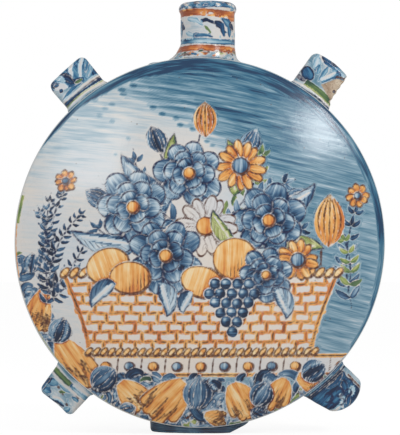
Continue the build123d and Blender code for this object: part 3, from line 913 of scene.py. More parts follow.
class LugPainter(SmallPainter):
    """Paints a lug, with x clockwise along the rim and y away from it."""

    def paint(self, style: LugStyle) -> None:
        """Paints the lug in its own way."""
        self.wash[:] = 0.36 + 0.14 * np.sin(self.x / 3 + self.y / 4.4)
        getattr(self, style.value)()

    def root_lines(self, *lines: tuple[float, float, Pigment | None, float]) -> None:
        """Draws lines along the rim.

        Args:
            lines: For each, its height, width, colour and tone.
        """
        for level, width, pigment, tone in lines:
            rise = level + 0.35 * np.sin(self.x / 6 + level) - 0.004 * self.x**2
            self.cover(pigment, np.arange(self.x.size), np.abs(self.y - rise) - width / 2,
                       tone + 0.12 * np.sin(self.x / 5 + level * 3), self.x, self.y)

    def stripes(self) -> None:
        """Paints broad curved stripes with thin white lines, a dark blot, dots and root lines."""
        blue, x, y = COBALT, self.x, self.y
        edge = np.minimum(9.0 - y - 0.5 * x, np.maximum(19.6 - y + 0.2 * x, x + 6))
        self.cover(blue, np.arange(x.size), edge, 0.7 + 0.12 * np.sin(x / 2.3 + y / 9), y, x)
        self.strokes((
            (9.6, 27, 3.6, 21.4, 0.2, 14.6, 1.2, None, 0.1),
            (15.6, 23, 9.8, 18.6, 5.8, 12.6, 1.1, None, 0.1),
            (18, 16, 13.4, 12.6, 9.6, 9.8, 2.8, blue, 0.3),
            (18.4, 19.6, 14.4, 16.4, 10, 12.6, 2.2, blue, 0.46),
            (-12, 16.6, -9, 15.4, -6.2, 12.6, 5.0, None, 0.1),
            (-4.8, 20.6, -1.8, 17.2, -0.6, 12.4, 4.6, blue, 1.0),
            (0.6, 11.4, 2.6, 11.0, 6.0, 10.6, 2.6, GREEN, 0.9),
            (-12.4, 18.4, -11.2, 17.8, -9.4, 17.4, 2.6, blue, 0.92),
            (-11.6, 12.6, -10.6, 13.1, -9.6, 13.7, 3.4, blue, 0.9),
            (-13.4, 22.0, -12.0, 21.6, -10.8, 20.6, 3.0, blue, 0.7),
            (-8.0, 22.0, -6.0, 20.4, -5.0, 17.0, 2.4, blue, 0.36),
            (-13.4, 6.9, -4.4, 9.2, 4.4, 8.8, 3.0, blue, 0.66)))
        self.root_lines((6.5, 1.5, None, 0.1), (5.3, 0.7, BROWN_INK, 1.0), (3.6, 2.8, blue, 0.56),
                        (2.4, 1.1, GREEN, 0.95), (1.2, 1.3, None, 0.1))

    def patches(self) -> None:
        """Paints soft and bold patches of blue, a round blot, and a green root."""
        blue, x, y = COBALT, self.x, self.y
        self.strokes((
            (-8.6, 24.6, -7.6, 20.4, -5.2, 14.6, 6.0, blue, 0.3),
            (-8.6, 27.0, -6.6, 25.6, -4.6, 23.0, 3.4, None, 0.1),
            (-4.2, 18.6, -3.6, 16.6, -2.8, 13.6, 3.6, blue, 0.5),
            (-5.6, 26.0, 1.0, 26.0, 9.4, 25.0, 7.0, blue, 0.72),
            (0.6, 28.4, 2.0, 27.4, 4.6, 26.6, 3.0, blue, 0.98),
            (0.4, 21.4, 0.6, 15.4, 0.4, 10.0, 3.4, blue, 0.6),
            (4.4, 22.4, 7.8, 23.4, 13.2, 23.0, 3.6, blue, 0.4),
            (8.8, 22.4, 5.4, 17.0, 2.6, 10.6, 4.2, blue, 0.66),
            (6.2, 21.6, 4.0, 17.0, 1.6, 12.6, 1.1, None, 0.1),
            (9.0, 8.8, 12.6, 7.6, 14.6, 5.0, 2.8, blue, 0.56)))
        near, distance, along, across = self.blob((-8.6, 10.2), (5.6, 4.4), -28)
        self.cover(blue, near, distance, 0.7 + 0.3 * smooth_step(distance, -2.0, -0.2), along, across, 0.3)
        self.strokes(((-14.6, 5.4, -10.6, 4.4, -6.6, 4.8, 3.4, BLUE_INK, 1.0),))
        edge = np.maximum(np.abs(y - 4.6 + 0.005 * x**2) - 2.3, -6.6 - x)
        tone = 0.92 - 0.34 * smooth_step(x, -4, 4) + 0.25 * smooth_step(x, 8, 15)
        self.cover(GREEN, np.arange(x.size), edge, tone, x, y)
        self.root_lines((1.4, 1.2, None, 0.1), (0.0, 1.2, blue, 0.8))

    def blots(self) -> None:
        """Paints soft round blots, a deep crescent, small marks, and a green and blue root."""
        blue, green, x, y = COBALT, GREEN, self.x, self.y
        self.wash[:] = 0.24 + 0.14 * np.sin(x / 3.4 + y / 5) + 0.24 * smooth_step(x, -2, 12)
        self.strokes((
            (8.6, 10.0, 11.8, 11.2, 14.6, 13.4, 6.6, blue, 0.56),
            (8.2, 17.4, 11.4, 18.0, 13.2, 16.8, 5.6, blue, 0.62),
            (14.4, 10.6, 14.6, 15.0, 13.2, 20.0, 2.6, blue, 0.95),
            (6.4, 21.4, 0.2, 18.2, -6.6, 18.4, 4.6, blue, 0.84),
            (4.4, 18.8, 0.0, 16.2, -5.4, 16.2, 1.4, None, 0.1),
            (-7.6, 20.6, -9.2, 18.8, -9.8, 16.0, 4.4, blue, 0.56),
            (-6.6, 9.6, -8.8, 9.2, -11.6, 9.8, 3.4, blue, 0.52),
            (3.2, 12.8, 1.4, 11.6, -0.6, 10.6, 2.4, green, 0.85),
            (-4.6, 13.2, -6.6, 13.8, -8.6, 14.2, 2.0, blue, 0.4),
            (6.0, 8.6, 1.6, 9.2, -3.4, 8.2, 3.0, blue, 0.4)))
        for across, up, size in (
                (6.8, 6.8, 1.7), (6.0, 10.8, 1.7), (-7.6, 6.6, 2.8), (0.4, 12.6, 1.3), (-6.0, 16.0, 1.6)):
            self.line(bend((across, up), (across - size * 0.6, up + 0.3), 0, 3), size, BROWN_INK, ROUND)
        self.root_lines((6.9, 1.5, None, 0.1), (4.4, 3.4, blue, 0.5), (1.9, 1.1, None, 0.1))
        edge = np.maximum(np.abs(y - 4.2 + 0.004 * x**2) - 1.9, 0.5 - x)
        self.cover(green, np.arange(x.size), edge, 0.74, x, y)

    def deep(self) -> None:
        """Covers the lug in deep blue with blackish curls, two pale strokes as painted highlights, and one
        pale end.
        """
        blue, x, y = COBALT, self.x, self.y
        every = np.arange(x.size)
        tone = 0.86 + 0.1 * np.sin(x / 4.2 + y / 6.1)
        self.cover(blue, every, -10.6 - x + 0.5 * np.sin(y * 0.9), tone, x, y)
        self.cover(BROWN_INK, every, np.maximum(np.abs(x + 11.6) - 0.7, 8 - y), 0.9, y, x)
        self.cover(OCHRE, every, np.maximum(np.abs(x + 14.4 + 0.1 * y) - 0.6, 10 - y), 0.8, y, x)
        self.strokes((
            (-5.4, 10.0, -4.4, 12.4, -2.6, 15.6, 5.0, blue, 0.74),
            (-8.6, 5.0, -2.0, 6.4, 6.0, 5.0, 3.0, blue, 0.66),
            (-7.6, 17.0, -5.6, 18.6, -3.6, 20.4, 2.6, blue, 0.3),
            # the next two pale strokes are painted highlights: glints of light on the glaze, put into the
            # colour
            (1.6, 15.4, 2.2, 16.8, 2.8, 18.8, 1.6, blue, 0.1),
            (5.0, 19.6, 5.8, 21.0, 6.4, 22.8, 1.8, blue, 0.1),
            (8.4, 20.6, 11.4, 20.8, 14.4, 18.6, 1.6, None, 0.1),
            (-1.6, 20.0, 2.0, 23.0, 5.6, 24.8, 3.0, blue, 0.8)))
        for centre, size, width in (((9.4, 10.6), 3.4, 2.4), ((1.2, 13.4), 3.0, 2.4), ((4.6, 19.0), 2.4, 1.5),
                                    ((-3.0, 17.6), 2.6, 1.6), ((11.6, 16.4), 2.2, 1.6)):
            self.line(loop(centre, size, 20, 300, 12), width, BLUE_INK, DAB)
        self.root_lines((1.2, 1.6, blue, 0.4), (3.0, 1.3, blue, 1.0))

    def chip(self, depth: Points) -> None:
        """Bares the broken corner.

        Args:
            depth: How far each point lies before the middle.
        """
        off = within(((3.5, 9.2), (16.0, 4.0), (17.5, 13.0), (16.4, 21.6), (9.8, 19.2)), self.x, self.y)
        corner = smooth_step(self.x, 14.0, 14.8) * smooth_step(self.y, 1.5, 4.0)
        spot = smooth_step(np.hypot(self.x - 13.6, self.y - 10.8), 0.6, 1.8)
        front = smooth_step(depth, 2, 4) * smooth_step(-off, -0.8, 0.8)
        self.bare[:] = np.maximum(corner, front) * spot
        self.line(bend((8.4, 19.8), (15.8, 22.4), 0.4, 6), 1.8)
        self.line(bend((13.2, 10.8), (14.2, 10.9), 0, 2), 2.6, mark=ROUND)


class FootPainter(Decorator):
    """Paints the foot: dark blue all round, worn to the clay where it stands."""

    def paint(self, worn_height: float) -> None:
        """Paints the foot.

        Args:
            worn_height: Below this height it is bare clay.
        """
        tone = 0.76 + 0.1 * np.sin(self.x / 5.3) + 0.06 * np.sin(self.x / 1.9)
        self.cover(COBALT, np.arange(self.x.size), np.full(self.x.size, -3.0), tone, self.x, self.y * 3)
        self.bare[:] = smooth_step(-self.y, -worn_height, 0)


class Wiring:
    """Adds nodes to one tree and links them."""

    def __init__(self, tree: Tree) -> None:
        """Takes the tree to work in."""
        self.tree = tree

    def node(self, kind: str, fed: dict | None = None, **settings: object) -> bpy.types.Node:
        """Adds a node.

        Args:
            kind: Its type.
            fed: What its inputs take, by number or name: an output to link, or a value.
            settings: Its own settings.

        Returns:
            The node.
        """
        made = self.tree.nodes.new(kind)
        for name, value in settings.items():
            setattr(made, name, value)
        for place, value in (fed or {}).items():
            self.feed(made.inputs[place], value)
        return made

    def feed(self, socket: Socket, value: object) -> None:
        """Links a socket to an output, or sets its own value.

        Args:
            socket: An input of a node.
            value: The output, or the value.
        """
        if isinstance(value, Socket):
            self.tree.links.new(value, socket)
        else:
            socket.default_value = value

    def math(self, operation: str, *values: object, clamp: bool = False) -> Socket:
        """Adds a sum; returns its result."""
        fed = dict(enumerate(values))
        return self.node("ShaderNodeMath", fed, operation=operation, use_clamp=clamp).outputs[0]

    def vector(self, operation: str, first: object, second: object) -> Socket:
        """Adds a sum on vectors, second being a vector or, for SCALE, a number."""
        fed = {0: first, "Scale" if operation == "SCALE" else 1: second}
        return self.node("ShaderNodeVectorMath", fed, operation=operation).outputs[0]

    def mix(self, share: object, first: object, second: object) -> Socket:
        """Mixes two colours; returns the result."""
        return self.node("ShaderNodeMix", {0: share, 6: first, 7: second}, data_type="RGBA").outputs[2]

    def noise(self, place: object, scale: float, detail: float = 2.0, output: int = 0) -> Socket:
        """Adds a noise; returns its value, about 0.3 to 0.7, or as output 1 its three parts."""
        fed = {"Vector": place, "Scale": scale, "Detail": detail}
        return self.node("ShaderNodeTexNoise", fed).outputs[output]

    def cells(self, place: object, scale: float, feature: str = "F1") -> Outputs:
        """Adds a cell pattern of a given scale; returns its outputs."""
        fed = {"Vector": place, "Scale": scale}
        return self.node("ShaderNodeTexVoronoi", fed, feature=feature).outputs

    def fit(self, value: object, low: float, high: float, to_low: float = 0.0, to_high: float = 1.0,
            smooth: bool = False) -> Socket:
        """Maps a range of values to another and holds it there."""
        fed, kind = dict(enumerate((value, low, high, to_low, to_high))), "SMOOTHSTEP" if smooth else "LINEAR"
        return self.node("ShaderNodeMapRange", fed, interpolation_type=kind).outputs[0]

    def attribute(self, name: str, output: str = "Fac") -> Socket:
        """Reads a point attribute of the mesh."""
        return self.node("ShaderNodeAttribute", attribute_name=name).outputs[output]

    def ramp(self, value: object, stops: Sequence[tuple[float, Colour]]) -> Socket:
        """Maps a value to a run of colours.

        Args:
            value: From 0 to 1.
            stops: The places of the colours, from 0 to 1, and the colours.

        Returns:
            The colour.
        """
        made = self.node("ShaderNodeValToRGB", {0: value})
        elements = made.color_ramp.elements
        while len(elements) < len(stops):
            elements.new(0.5)
        for element, (place, colour) in zip(elements, stops):
            element.position, element.color = place, linear(colour)
        return made.outputs[0]

    def use(self, name: str, fill: Callable[["Wiring", dict], dict], **values: object) -> Outputs:
        """Places a shared group, which fill builds when it is first used; returns its outputs."""
        tree = bpy.data.node_groups.get(name) or shared_group(name, fill, values)
        return self.node("ShaderNodeGroup", values, node_tree=tree).outputs


def blank_wiring(owner: bpy.types.Material | bpy.types.World) -> Wiring:
    """Clears the nodes of a material or a world, and starts to wire it.

    Args:
        owner: The material or the world.

    Returns:
        The wiring of its tree.
    """
    owner.use_nodes = True
    owner.node_tree.nodes.clear()
    return Wiring(owner.node_tree)


def add_socket(tree: Tree, way: str, name: str, value: object) -> None:
    """Gives a shared group an input or an output of the kind that a value has."""
    kind = {"VECTOR": "Vector", "RGBA": "Color"}.get(getattr(value, "type", ""), "Float")
    tree.interface.new_socket(name, in_out=way, socket_type=f"NodeSocket{kind}")


def shared_group(name: str, fill: Callable[[Wiring, dict], dict], values: dict) -> Tree:
    """Makes a shader node group.

    Args:
        name: Its name.
        fill: Builds its inside, from its wiring and its inputs to its outputs, all by name.
        values: What each input takes where the group is first used.

    Returns:
        The group.
    """
    tree = bpy.data.node_groups.new(name, "ShaderNodeTree")
    for label, value in values.items():
        add_socket(tree, "INPUT", label, value)
    net = Wiring(tree)
    start, end = net.node("NodeGroupInput"), net.node("NodeGroupOutput")
    for label, value in fill(net, {label: start.outputs[label] for label in values}).items():
        add_socket(tree, "OUTPUT", label, value)
        net.feed(end.inputs[label], value)
    return tree


def brush_marks(net: Wiring, given: dict) -> dict:
    """Streaks and bristle lines that run along each brush stroke.

    Args:
        net: Wires the group.
        given: The group's inputs by name.

    Returns:
        Its outputs by name.
    """
    streak = net.noise(net.vector("MULTIPLY", given["Brush"], (0.032, 0.36, 1.0)), 1.0, 2.0)
    bristle = net.noise(net.vector("MULTIPLY", given["Brush"], (0.07, 1.35, 1.0)), 1.0, 2.5)
    return {"Streak": net.fit(streak, 0.33, 0.67), "Bristle": net.fit(bristle, 0.32, 0.68)}


def pigment_cover(net: Wiring, given: dict) -> dict:
    """How much a pigment covers, from its signed depth, and where it pools along its edge.

    Args:
        net: Wires the group.
        given: The group's inputs by name.

    Returns:
        Its outputs by name.
    """
    edge = net.math("ADD", given["Depth"], given["Wobble"])
    share = net.fit(edge, net.math("MULTIPLY", given["Softness"], 0.5),
                       net.math("MULTIPLY", given["Softness"], -0.5), smooth=True)
    pool = net.fit(given["Depth"], -1.7, -0.2)
    return {"Cover": share, "Pool": net.math("MULTIPLY", pool, share)}


def ruled_lines(net: Wiring, given: dict) -> dict:
    """Fine ruled lines along the brush, at a pitch and broken here and there.

    Args:
        net: Wires the group.
        given: The group's inputs by name.

    Returns:
        Its outputs by name.
    """
    _, across, offset = net.node("ShaderNodeSeparateXYZ", {0: given["Brush"]}).outputs
    sway = net.math("MULTIPLY", given["Wobble"], 0.9)
    turn = net.math("MULTIPLY", net.math("ADD", across, sway), net.math(
        "DIVIDE", FULL_TURN, given["Pitch"]))
    wave = net.math("SINE", net.math("ADD", turn, offset))
    broken = net.fit(given["Broken"], 0.25, 0.6)
    line = net.fit(wave, 0.35, 0.8, smooth=True)
    return {"Line": net.math("MULTIPLY", net.math("MULTIPLY", line, broken), given["Strength"])}


def glaze_skin(net: Wiring, given: dict) -> dict:
    """The glaze's own surface: slow ripples, pinholes, kiln specks and a faint crackle.

    Args:
        net: Wires the group.
        given: The group's inputs by name.

    Returns:
        Its outputs by name.
    """
    place = given["Place"]
    ripple = net.noise(place, 0.085, 2.0)
    orange_peel = net.noise(place, 0.55, 2.0)
    grains = net.cells(place, 0.16)
    chosen = net.math("GREATER_THAN", net.noise(net.vector(
        "SCALE", grains["Position"], 3.1), 1.0, 0.0), 0.57)
    speck = net.math("MULTIPLY", net.fit(grains["Distance"], 0.10, 0.05, smooth=True), chosen)
    pit = net.fit(net.cells(place, 0.27)["Distance"], 0.11, 0.03, smooth=True)
    bent = net.vector("ADD", place, net.vector("SCALE", net.noise(place, 0.2, 2.0, 1), 3.0))
    crack = net.cells(bent, 0.12, "DISTANCE_TO_EDGE")["Distance"]
    crackle = net.fit(crack, 0.022, 0.006, smooth=True)
    height = net.math("ADD", net.math("MULTIPLY", ripple, 0.12), net.math(
        "MULTIPLY", orange_peel, 0.035))
    height = net.math("SUBTRACT", height, net.math("MULTIPLY", pit, 0.05))
    return {"Height": height, "Speck": speck, "Crackle": crackle, "Tint": net.fit(
        net.noise(place, 0.021, 3.0), 0.36, 0.64)}


@dataclass(frozen=True)
class Ramp:
    """A pigment's colours from a thin wash to the full load of the brush."""

    name: str
    stops: tuple[tuple[float, Colour], ...]

    def at(self, net: Wiring, density: object) -> Socket:
        """The colour at a density, from a shared group."""
        return net.use(self.name, lambda inside, given: {
            "Colour": inside.ramp(given["Density"], self.stops)}, Density=density)["Colour"]


FACE_COBALT = Ramp("face_cobalt", ((0.0, (206, 214, 218)), (0.2, (178, 197, 209)), (0.42, (122, 150, 172)),
                                   (0.62, (68, 106, 138)), (0.82, (34, 68, 102)), (1.0, (15, 32, 58))))
CLEAR_COBALT = Ramp("clear_cobalt", ((0.0, (204, 213, 220)), (0.2, (170, 198, 211)), (0.42, (106, 153, 178)),
                                     (0.62, (54, 112, 148)), (0.82, (26, 76, 118)), (1.0, (14, 36, 68))))
THIN_BLUE = Ramp("thin_blue", ((0.0, (204, 211, 214)), (0.2, (182, 198, 206)), (0.42, (130, 161, 178)),
                               (0.62, (82, 125, 147)), (0.82, (48, 102, 132)), (1.0, (28, 60, 92))))
BURNT_OCHRE = Ramp("burnt_ochre", ((0.0, (240, 214, 168)), (0.28, (236, 186, 118)), (0.52, (224, 156, 80)),
                                   (0.76, (204, 118, 60)), (1.0, (150, 76, 44))))
COPPER_GREEN = Ramp("copper_green", ((0.0, (206, 208, 160)), (0.35, (158, 168, 96)), (0.65, (98, 126, 78)),
                                     (1.0, (44, 74, 62))))


def raw_clay(net: Wiring, given: dict) -> dict:
    """Fired clay without glaze: buff, mottled and grainy.

    Args:
        net: Wires the group.
        given: The group's inputs by name.

    Returns:
        Its outputs by name.
    """
    mottle = net.noise(given["Place"], 0.12, 4.0)
    grain = net.noise(given["Place"], 1.1, 4.0)
    colour = net.ramp(net.fit(mottle, 0.3, 0.7), ((0.0, (146, 122, 100)), (0.5, (184, 164, 142)),
                                                  (1.0, (208, 194, 172))))
    dark = net.fit(grain, 0.54, 0.66, smooth=True)
    return {"Colour": net.mix(net.math("MULTIPLY", dark, 0.6), colour, linear((98, 62, 42))),
            "Height": net.math("MULTIPLY", grain, 0.12)}


@dataclass(frozen=True)
class GlazeFinish:
    """Painted tin glaze, which reads what the painter left on the mesh.

    Attributes:
        name: Its name, which the material takes.
        ground: Colour of the white glaze where it is warm.
        cool: Colour of the white glaze where it is cool.
        roughness: Roughness of the glaze.
        specks: Strength of the kiln specks.
        veil: Share of a flat grey mixed over all the colours.
        blue: Its cobalt.
    """

    name: str
    ground: Colour = (225, 214, 202)
    cool: Colour = (209, 210, 212)
    roughness: float = 0.14
    specks: float = 0.7
    veil: float = 0.0
    blue: Ramp = CLEAR_COBALT

    def material(self) -> bpy.types.Material:
        """Builds the material.

        Returns:
            The material.
        """
        made = bpy.data.materials.new(self.name)
        net = blank_wiring(made)
        place = net.vector("SCALE", net.node("ShaderNodeTexCoord").outputs["Object"], 1 / MM)
        skin = net.use("glaze_skin", glaze_skin, Place=place)
        colour, load = self.painted(net, place, skin)
        clay = net.use("raw_clay", raw_clay, Place=place)
        bare = net.fit(net.math("ADD", net.attribute("bare"), net.math(
            "MULTIPLY", net.math("SUBTRACT", net.noise(place, 0.6, 3.0), 0.5), 0.7)), 0.42, 0.58)
        matt = net.math("MULTIPLY_ADD", load, 0.07, self.roughness)
        height = net.math("MULTIPLY", skin["Height"], MM)
        height = net.math("MULTIPLY_ADD", load, 0.03 * MM, height)
        height = net.math("MULTIPLY_ADD", net.math("MULTIPLY", bare, clay["Height"]), MM, height)
        shader = net.node("ShaderNodeBsdfPrincipled", {
            "Base Color": net.mix(bare, colour, clay["Colour"]),
            "Roughness": net.math("MULTIPLY_ADD", bare, 0.66, matt, clamp=True),
            "IOR": 1.5,
            "Normal": net.node("ShaderNodeBump", {"Distance": 1.0, "Height": height}).outputs[0]})
        net.node("ShaderNodeOutputMaterial", {"Surface": shader.outputs[0]})
        return made

    def painted(self, net: Wiring, place: Socket, skin: Outputs
                ) -> tuple[Socket, Socket]:
        """Lays the ground, the wash, each pigment and the ink over each other.

        Args:
            net: The material's net.
            place: Place on the piece in millimetres.
            skin: The outputs of the glaze's skin.

        Returns:
            The colour, and how much pigment lies there.
        """
        brush = net.attribute("brush", "Vector")
        marks = net.use("brush_marks", brush_marks, Brush=brush)
        streak, bristle = (net.math("SUBTRACT", marks[name], 0.5) for name in ("Streak", "Bristle"))
        wobble = net.math("MULTIPLY", net.math("SUBTRACT", net.noise(place, 0.42, 2.0), 0.5), 1.3)
        ground = net.mix(skin["Tint"], linear(self.ground), linear(self.cool))
        ground = net.mix(net.math("MULTIPLY", skin["Crackle"], 0.10), ground, linear((150, 120, 95)))
        uneven = net.math("MULTIPLY_ADD", bristle, 0.42, net.math("MULTIPLY", streak, 0.62))
        level = net.math("MULTIPLY", net.math("ADD", uneven, 1.0), net.attribute("wash"))
        density = net.math("MULTIPLY_ADD", level, 1.12, 0.02, clamp=True)
        cover = net.fit(density, 0.03, 0.34, smooth=True)
        colour = net.mix(cover, ground, THIN_BLUE.at(net, density))
        uneven = net.math("MULTIPLY_ADD", bristle, 0.24, net.math("MULTIPLY", streak, 0.42))
        density = net.math("ADD", net.attribute("tone"), uneven)
        slow = net.math("SUBTRACT", net.noise(place, 0.12, 3.0), 0.5)
        density = net.math("MULTIPLY_ADD", slow, 0.55, density)
        for pigment, ramp in ((GREEN, COPPER_GREEN), (OCHRE, BURNT_OCHRE), (COBALT, self.blue)):
            edge = self.edge(net, pigment, wobble, 0.8)
            loaded = net.math("MULTIPLY_ADD", edge["Pool"], 0.16, density, clamp=True)
            colour = net.mix(edge["Cover"], colour, ramp.at(net, loaded))
            cover = net.math("MAXIMUM", cover, edge["Cover"])
        # cobalt came last, so edge holds its cover: the ruled lines are blue on it and brown elsewhere
        ink_colour = net.mix(edge["Cover"], linear((92, 52, 36)), linear((20, 32, 70)))
        lines = net.use("ruled_lines", ruled_lines, Brush=brush, Wobble=wobble, Pitch=2.5,
                           Broken=net.noise(place, 0.3), Strength=net.attribute("hatch"))
        colour = net.mix(lines["Line"], colour, ink_colour)
        thin = net.fit(net.noise(place, 0.5, 3.0), 0.34, 0.6, 0.62, 1.0)
        for pigment, ink in ((BROWN_INK, (84, 48, 36)), (BLUE_INK, (22, 34, 72))):
            edge = self.edge(net, pigment, net.math("MULTIPLY", wobble, 0.5), 0.7)
            colour = net.mix(net.math("MULTIPLY", edge["Cover"], thin), colour, linear(ink))
            cover = net.math("MAXIMUM", cover, edge["Cover"])
        speck = net.math("MULTIPLY", skin["Speck"], self.specks)
        colour = net.mix(speck, colour, linear((86, 58, 46)))
        return net.mix(self.veil, colour, linear((112, 106, 100))), cover

    @staticmethod
    def edge(net: Wiring, pigment: Pigment, wobble: Socket, softness: float
             ) -> Outputs:
        """Places the group that turns a pigment's signed depth into its cover."""
        return net.use("pigment_cover", pigment_cover, Depth=net.attribute(pigment.value),
                          Wobble=wobble, Softness=softness)


def worked_clay_tree() -> Tree:
    """Builds the tree that gives a piece the uneven skin of clay worked by hand.

    Every point sinks along its normal by a slow noise, as far as the point attribute named skin
    lets it.

    Returns:
        The tree, whose inputs are Wave Height, Wave Length, Seed and Glaze.
    """
    name = "worked_clay"
    if name in bpy.data.node_groups:
        return bpy.data.node_groups[name]
    tree = bpy.data.node_groups.new(name, "GeometryNodeTree")
    for label, kind in (("Geometry", "Geometry"), ("Wave Height", "Float"), ("Wave Length", "Float"),
                        ("Seed", "Float"), ("Glaze", "Material")):
        tree.interface.new_socket(label, in_out="INPUT", socket_type=f"NodeSocket{kind}")
    tree.interface.new_socket("Geometry", in_out="OUTPUT", socket_type="NodeSocketGeometry")
    net = Wiring(tree)
    given = net.node("NodeGroupInput").outputs
    noise = net.node("ShaderNodeTexNoise", {
        "Vector": net.node("GeometryNodeInputPosition").outputs[0], "W": given["Seed"],
        "Scale": net.math("DIVIDE", 1.0, given["Wave Length"]), "Detail": 2.0}, noise_dimensions="4D")
    wave = net.math("MULTIPLY", net.fit(noise.outputs[0], 0.25, 0.75), given["Wave Height"])
    skin = net.node("GeometryNodeInputNamedAttribute", {"Name": "skin"}, data_type="FLOAT")
    sink = net.math("MULTIPLY", net.math("MULTIPLY", wave, skin.outputs[0]), -1.0)
    offset = net.vector("SCALE", net.node("GeometryNodeInputNormal").outputs[0], sink)
    made = net.node("GeometryNodeSetPosition", {"Geometry": given["Geometry"], "Offset": offset})
    made = net.node("GeometryNodeRealizeInstances", {0: made.outputs[0]})
    made = net.node("GeometryNodeSetMaterial", {"Geometry": made.outputs[0], "Material": given["Glaze"]})
    net.node("NodeGroupOutput", {0: made.outputs[0]})
    return tree


@dataclass(frozen=True)
class ClaySkin:
    """How uneven a piece's surface is, in metres."""

    wave_height: float
    wave_length: float
    seed: float

    def apply(self, piece: Piece, glaze: bpy.types.Material) -> None:
        """Runs the worked-clay tree on a piece and keeps its result as a plain mesh.

        Args:
            piece: The piece.
            glaze: Its material.
        """
        tree = worked_clay_tree()
        modifier = piece.modifiers.new("worked_clay", "NODES")
        modifier.node_group = tree
        values = {"Wave Height": self.wave_height, "Wave Length": self.wave_length, "Seed": self.seed,
                  "Glaze": glaze}
        for socket in tree.interface.items_tree:
            if socket.in_out == "INPUT" and socket.name in values:
                modifier[socket.identifier] = values[socket.name]
        keep_result(piece)


def keep_result(piece: Piece) -> None:
    """Replaces a piece's mesh by what its modifiers make of it, and removes them.

    Args:
        piece: The piece.
    """
    bpy.context.view_layer.update()
    graph = bpy.context.evaluated_depsgraph_get()
    mesh = bpy.data.meshes.new_from_object(piece.evaluated_get(graph), depsgraph=graph)
    piece.modifiers.clear()
    piece.data = mesh
    mesh.name = piece.name


def read_points(mesh: Mesh) -> Points:
    """Reads a mesh's points.

    Args:
        mesh: The mesh.

    Returns:
        The points, one row each, in metres.
    """
    flat = np.zeros(len(mesh.vertices) * 3, np.float32)
    mesh.vertices.foreach_get("co", flat)
    return flat.reshape(-1, 3).astype(float)


def write_points(mesh: Mesh, points: Points) -> None:
    """Moves the mesh's points."""
    mesh.vertices.foreach_set("co", points.astype(np.float32).ravel())
    mesh.update()


def write_attribute(mesh: Mesh, name: str, values: Points) -> None:
    """Writes a point attribute.

    Args:
        mesh: The piece's mesh.
        name: Name of the attribute.
        values: A number or a row of three for each point.
    """
    kind, part = ("FLOAT", "value") if values.ndim == 1 else ("FLOAT_VECTOR", "vector")
    layer = mesh.attributes.get(name) or mesh.attributes.new(name, kind, "POINT")
    layer.data.foreach_set(part, values.astype(np.float32).ravel())


def transfer(mesh: Mesh, canvases: Iterable[tuple[Points, Canvas]]) -> None:
    """Writes what is on the canvases to the mesh's attributes.

    Args:
        mesh: The piece's mesh.
        canvases: Pairs of point numbers and the canvas that holds them.
    """
    count = len(mesh.vertices)
    layers = {pigment.value: np.full(count, Canvas.FAR) for pigment in Pigment}
    layers.update({name: np.zeros(count) for name in ("wash", "tone", "hatch", "bare")})
    layers["brush"] = np.zeros((count, 3))
    for spots, canvas in canvases:
        for pigment in Pigment:
            layers[pigment.value][spots] = canvas.depth[pigment]
        for name in ("wash", "tone", "hatch", "bare", "brush"):
            layers[name][spots] = getattr(canvas, name)
    for name, values in layers.items():
        write_attribute(mesh, name, values)


def link(name: str, data: bpy.types.ID) -> Piece:
    """Puts a mesh, a lamp or a camera in the scene under a name.

    Args:
        name: Its name.
        data: The mesh, the lamp or the camera.

    Returns:
        The object.
    """
    made = bpy.data.objects.new(name, data)
    bpy.context.scene.collection.objects.link(made)
    return made


def settle(piece: Piece, node: str) -> None:
    """Rides a finished piece on the flask's one body and lets it stand for its node.

    Args:
        piece: The piece.
        node: The solid that it stands for.
    """
    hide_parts(node)
    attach(piece, "root")
    LOG.info("%s stands for %s: %d faces", piece.name, node, len(piece.data.polygons))


